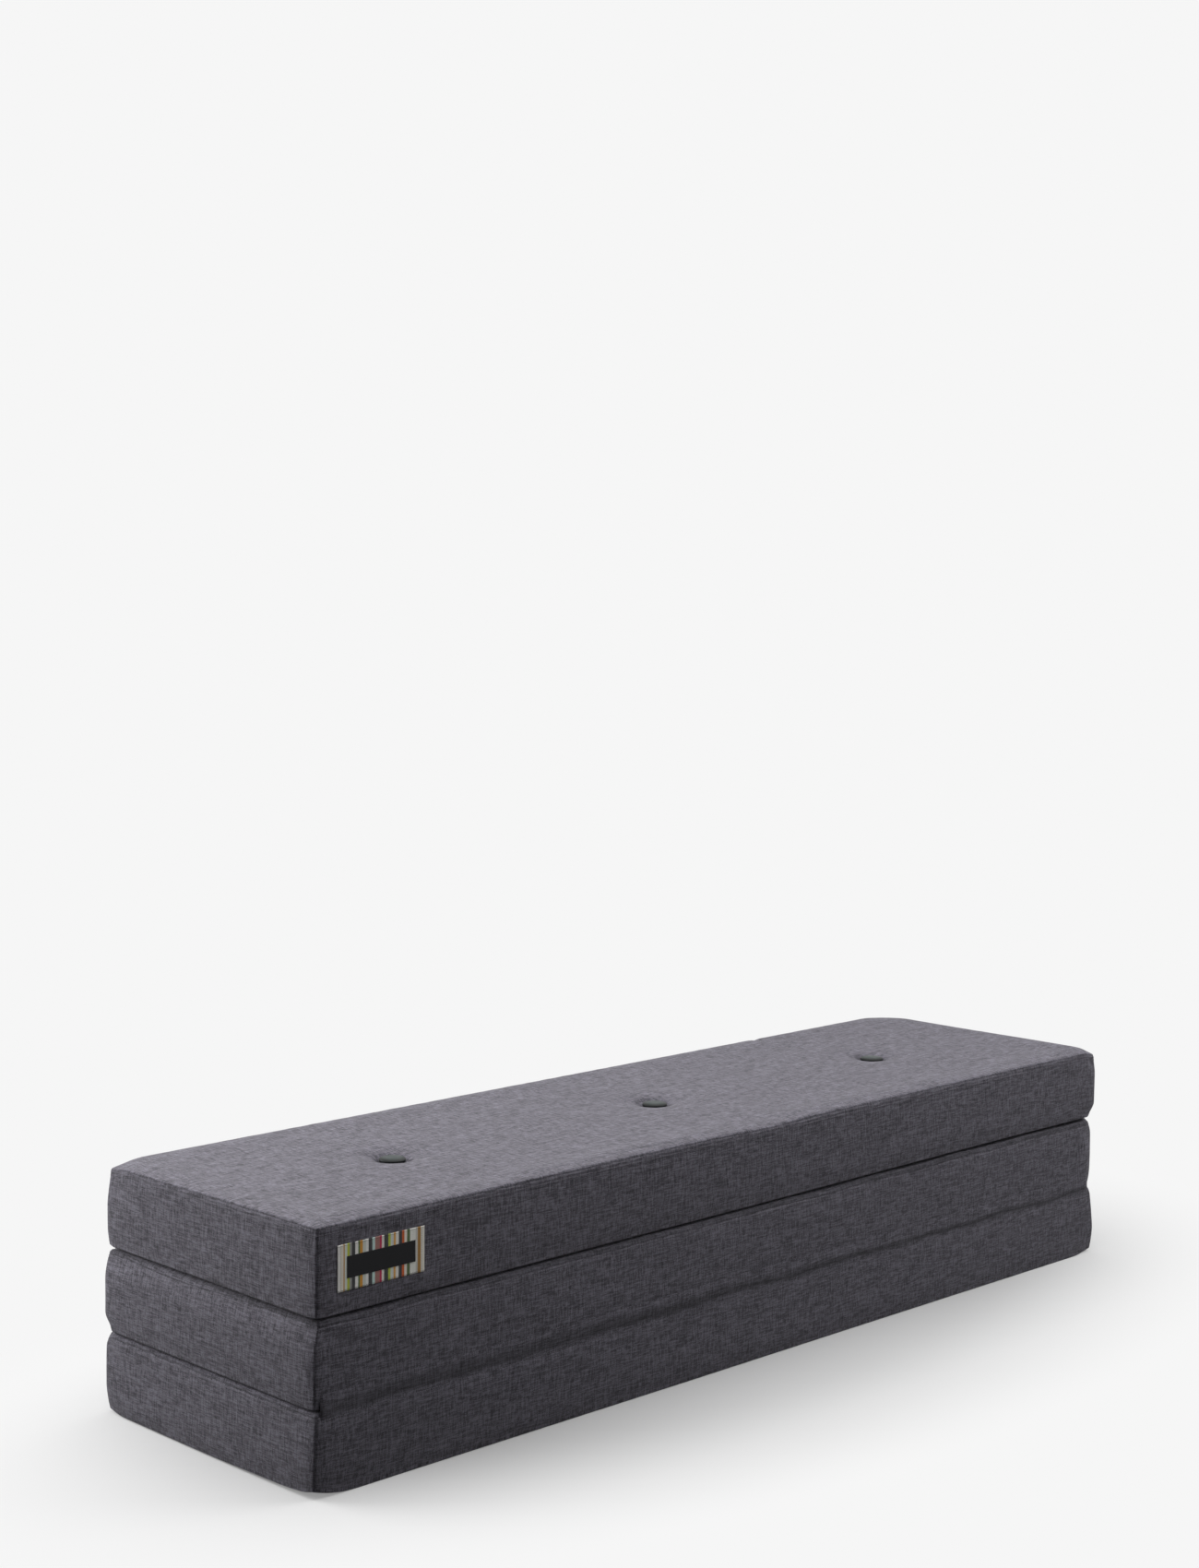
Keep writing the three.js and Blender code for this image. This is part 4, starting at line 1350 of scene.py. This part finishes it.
zips = {
    "tapeRows": [-10.6, -8, -6, -4.6, -3.9, -3.2, 0, 3.2, 3.9, 4.6, 6, 8, 10.6],
    "tapeRise": [0, 0, 0, 0.05, 0.35, 0, -0.1, 0, 0.35, 0.05, 0, 0, 0],
    "tapeLevel": -0.75,  # the tape's face behind the wall's outermost plane
    "tapeGap": 8,
    "tapeThickness": 0.6,
    "turnWidth": 2.5,
    "ribPitch": 0.9,
    "stitchPlace": 14,
    "endInset": 13,
    "chainInset": 18,
    "chainOut": 0.2,
    "sliderRest": 8,
    "barOut": 4.5,
    "foot": 0.3,
    "bodyThickness": 2.4,
}
coilSizes = {"Pitch": 1.55, "Reach": 3.1, "Thickness": 1.15, "Side": 1.15}


# Herringbone polyester tape: slanting ribs that turn at the middle of each half, painted lighter and darker
# in the colour as painted shade
def herringboneTape(name):
    material, tree = newMaterial(name)
    along, across = splitPlace(tree, scaled(tree, clothMap(tree), 1000))
    slant = calculate(tree, "ADD", along, calculate(tree, "PINGPONG", across, zips["turnWidth"]))
    rib = calculate(tree, "SINE", calculate(tree, "MULTIPLY", slant, 2 * math.pi / zips["ribPitch"]))
    # painted shade and highlight on the ribs
    colour = scaled(tree, paint("#36353a")[:3], mapped(tree, rib, (-1, 1), (0.72, 1.25)))
    addSurface(tree, colour, Normal=bumped(tree, rib, 0.4, 0.0003), Roughness=0.85, Sheen_Weight=0.1)
    return material


# Gunmetal-plated zinc: die-cast, tumbled smooth, dark with a broad metallic gloss
def gunmetal(name):
    material, tree = newMaterial(name)
    cloud = noise(tree, objectPlace(tree), 600, 3)
    colour = scaled(tree, paint("#66666b")[:3], mapped(tree, cloud, usualNoise, (0.8, 1.25)))
    addSurface(tree, colour, Roughness=mapped(tree, cloud, usualNoise, (0.28, 0.42)),
               Normal=bumped(tree, cloud, 0.1, 0.0002), Metallic=1)
    return material


zipTape, zipMetal = herringboneTape("herringboneZipTape"), gunmetal("gunmetalZinc")
zipNylon = satinNylon("nylonZipCoil", coilNylon)


def plateMesh(outlines, thickness, bevel, out):
    # outlines of y and z in millimetres, the first the rim and the others holes, standing across X
    curve = bpy.data.curves.new("plate", "CURVE")
    curve.dimensions, curve.fill_mode = "2D", "BOTH"
    for outline in outlines:
        line = curve.splines.new("POLY")
        line.points.add(len(outline) - 1)
        line.points.foreach_set("co", np.array([(y, z, 0, 1) for y, z in outline], np.float32).ravel())
        line.use_cyclic_u = True
    curve.extrude, curve.bevel_depth, curve.bevel_resolution = thickness / 2 - bevel, bevel, 2
    curve.offset = -bevel
    shape = addObject("plate", curve)
    mesh = evaluatedMesh(shape)
    bpy.data.objects.remove(shape)
    movePoints(mesh, pointsOf(mesh)[:, [2, 0, 1]] + (out, 0, 0))
    return mesh


def rodMesh(radius, halfLength, centre):
    # a rod along Y with eased ends
    eased = halfLength - 0.15
    profile = [(0, -halfLength), (radius - 0.15, -halfLength), (radius, -eased), (radius, eased),
               (radius - 0.15, halfLength), (0, halfLength)]
    rod = turned("rod", profile, 20)
    points = pointsOf(rod.data) * 1000
    movePoints(rod.data, points[:, [0, 2, 1]] * (1, 1, -1) + centre)
    mesh = rod.data
    bpy.data.objects.remove(rod)
    return mesh


def joined(name, meshes, origin, material, body, replaced):
    mesh = bpy.data.meshes.new(name)
    weld(meshes, mesh, 1e-3)
    for used in meshes:
        bpy.data.meshes.remove(used)
    movePoints(mesh, mm(pointsOf(mesh) + origin))
    piece = addObject(name, mesh)
    finish(piece, material, False)
    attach(piece, body)
    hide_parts(replaced)


def arc(centre, radius, start, end, steps):
    return [(centre[0] + radius * math.cos(a), centre[1] + radius * math.sin(a))
            for a in np.radians(np.linspace(start, end, steps))]


def sliderMeshes():
    # body with two wings, side flanges, and the two posts that hold the bar
    half, wide, thick, foot, out = 5.5, 4.75, zips["bodyThickness"], zips["foot"], zips["barOut"]
    side = [(-half, wide * 0.55), (-half + 0.7, wide * 0.68), (-0.6, wide * 0.7), (half * 0.35, wide * 0.93),
            (half * 0.55, wide), (half * 0.86, wide), (half, wide * 0.86), (half, wide * 0.2),
            (half * 0.8, 0)]
    outline = side + [(a, -b) for a, b in reversed(side[:-1])]
    flange = [(-half + 0.4, wide * 0.5), (-half + 0.4, wide * 0.68), (half * 0.5, wide * 0.98),
              (half * 0.9, wide * 0.98), (half * 0.9, wide * 0.76), (half * 0.45, wide * 0.74)]
    meshes = [plateMesh([outline], 1.0, 0.3, foot + thick - 0.5)]
    for sign in (-1, 1):
        mirrored = [(a, sign * b) for a, b in flange[::sign]]
        post = plateMesh([[(2.3, -0.6), (3.5, -0.6), (3.5, 0.6), (2.3, 0.6)]], 3.4, 0.2, out - 1.1)
        movePoints(post, pointsOf(post) * (1, sign, 1))
        meshes += [plateMesh([mirrored], thick, 0.2, foot + thick / 2), post]
    meshes.append(rodMesh(0.6, 2.9, (out, 0, 0)))
    return meshes


def pullMeshes():
    # a long tab with a slot and grip ribs, and the tube that turns on the bar
    out = zips["barOut"]
    outline = [(-2, -0.4), (-2, -2.4), (-3.5, -4), *arc((0, -20.5), 3.5, 180, 360, 15),
               (3.5, -4), (2, -2.4), (2, -0.4)]
    slot = arc((0, -17.5), 1.5, 180, 360, 9) + arc((0, -10.5), 1.5, 0, 180, 9)
    meshes = [plateMesh([outline, slot], 1, 0.22, out), rodMesh(1.5, 2, (out, 0, 0))]
    for number in range(3):
        meshes.append(rodMesh(0.28, 2.2 - 0.2 * number, (out + 0.5, 0, -5.4 - 1.1 * number)))
    return meshes


def addZip(section):
    name, half, wide = section["name"], section["halfLength"], section["halfWidth"]
    origin = section["middle"] + (half, 0, section["height"] / 2)
    end, chain = wide - zips["endInset"], wide - zips["chainInset"]
    ys = spread(-end, end, lambda place: zips["tapeGap"])
    zs = np.array(zips["tapeRows"])
    points = [(zips["tapeLevel"] + rise, y, z) for y in ys for z, rise in zip(zs, zips["tapeRise"])]
    tape = addSheet(f"{name}_zip_tape_woven", np.array(points) + origin, ys, zs + 20,
                    zips["tapeThickness"], zipTape)
    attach(tape, f"{name}_section")
    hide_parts(f"{name}_zip_tape")

    run = np.array([(zips["chainOut"], -chain, 0), (zips["chainOut"], chain, 0)]) + origin
    teeth = grow(f"{name}_zip_coil", coil, [run], zipNylon, coilSizes)
    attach(teeth, f"{name}_section")

    paths = []
    for sign in (-1, 1):
        starts = [origin + (40, y, sign * zips["stitchPlace"]) for y in np.arange(-end, end, zips["tapeGap"])]
        paths.append([hitWall(section["tree"], start, (-1, 0, 0)) + (0.1, 0, 0) for start in starts])
    sewn = grow(f"{name}_zip_stitches", stitches, paths, coverThread, topstitch)
    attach(sewn, f"{name}_section")

    place = origin + (0, zips["sliderRest"] - chain, 0)
    for part, meshes in (("slider", sliderMeshes()), ("pull", pullMeshes())):
        joined(f"{name}_zip_{part}_cast", meshes, place, zipMetal, f"{name}_{part}",
               f"{name}_zip_{part}")


for section in sections:
    addZip(section)
print("zips closed")


# Floor and light

stageSettings = {
    "half": 6,
    "floor": "#d8d8d8",
    "bounce": "#101010",
    "white": "#f6f6f6",
    "world": 0.15,
    "ovalScale": (0.62, 1.25, 1),
    "fade": (0.45, 0.9),
}


def seenRays(tree):
    # 1 for what the camera sees, also through glass or in a gloss, and 0 for light that bounces
    rays = addNode(tree, "ShaderNodeLightPath").outputs
    shiny = calculate(tree, "MAXIMUM", rays["Is Glossy Ray"], rays["Is Transmission Ray"])
    return calculate(tree, "MAXIMUM", rays["Is Camera Ray"], shiny)


def addWorld(settings):
    world = bpy.data.worlds.new("studio")
    scene.world = world
    world.use_nodes = True
    tree = world.node_tree
    tree.nodes.clear()
    dim = addNode(tree, "ShaderNodeBackground", {"Color": (1, 1, 1, 1), "Strength": settings["world"]})
    white = addNode(tree, "ShaderNodeBackground", {"Color": paint(settings["white"]), "Strength": 1})
    mixed = addNode(tree, "ShaderNodeMixShader", {0: seenRays(tree), 1: dim.outputs[0], 2: white.outputs[0]})
    addNode(tree, "ShaderNodeOutputWorld", {"Surface": mixed.outputs[0]})


# Matt painted floor: near the mattress it takes its shadow, and further out it runs into the backdrop
def addFloor(settings):
    half = settings["half"]
    corners = [(-half, -half, 0), (half, -half, 0), (half, half, 0), (-half, half, 0)]
    floor = meshObject("floor", corners, [(0, 1, 2, 3)])
    material, tree = newMaterial("paintedFloor")
    oval = addNode(tree, "ShaderNodeVectorMath", {0: objectPlace(tree), 1: settings["ovalScale"]},
                   operation="MULTIPLY")
    away = addNode(tree, "ShaderNodeVectorMath", {0: oval.outputs[0]}, operation="LENGTH").outputs["Value"]
    start, end = settings["fade"]
    far = addNode(tree, "ShaderNodeMapRange", {"Value": away, "From Min": start, "From Max": end},
                  interpolation_type="SMOOTHSTEP")
    looked = seenRays(tree)
    seen = calculate(tree, "MULTIPLY", looked, far.outputs[0])
    grey = addNode(tree, "ShaderNodeMix",
                   {"Factor": looked, 6: paint(settings["bounce"]), 7: paint(settings["floor"])},
                   data_type="RGBA")
    lit = addNode(tree, "ShaderNodeBsdfDiffuse", {"Color": grey.outputs[2]})
    white = addNode(tree, "ShaderNodeEmission", {"Color": paint(settings["white"]), "Strength": 1})
    mixed = addNode(tree, "ShaderNodeMixShader", {0: seen, 1: lit.outputs[0], 2: white.outputs[0]})
    addNode(tree, "ShaderNodeOutputMaterial", {"Surface": mixed.outputs[0]})
    floor.data.materials.append(material)


lamps = {
    "overhead": {"place": (0, 0.1, 3.2), "aim": (0, 0, 0.2), "size": (4.5, 3), "power": 96},
    "left": {"place": (-1.8, 1.6, 1.1), "aim": (-0.6, 0, 0.2), "size": (1.6, 1.2), "power": 46},
    "right": {"place": (2.4, -2.1, 2.6), "aim": (0.6, 0, 0.2), "size": (2, 1.6), "power": 58},
}


def addLamp(name, settings):
    data = bpy.data.lights.new(name, "AREA")
    data.shape = "RECTANGLE"
    data.size, data.size_y = settings["size"]
    data.energy = settings["power"]
    lamp = addObject(name, data)
    lamp.location = settings["place"]
    heading = Vector(settings["aim"]) - Vector(settings["place"])
    lamp.rotation_euler = heading.to_track_quat("-Z", "Y").to_euler()
    lamp.visible_camera = False


addWorld(stageSettings)
addFloor(stageSettings)
for lampName, lampSettings in lamps.items():
    addLamp(lampName, lampSettings)
scene.view_settings.view_transform = "Standard"
print("stage and lamps placed")
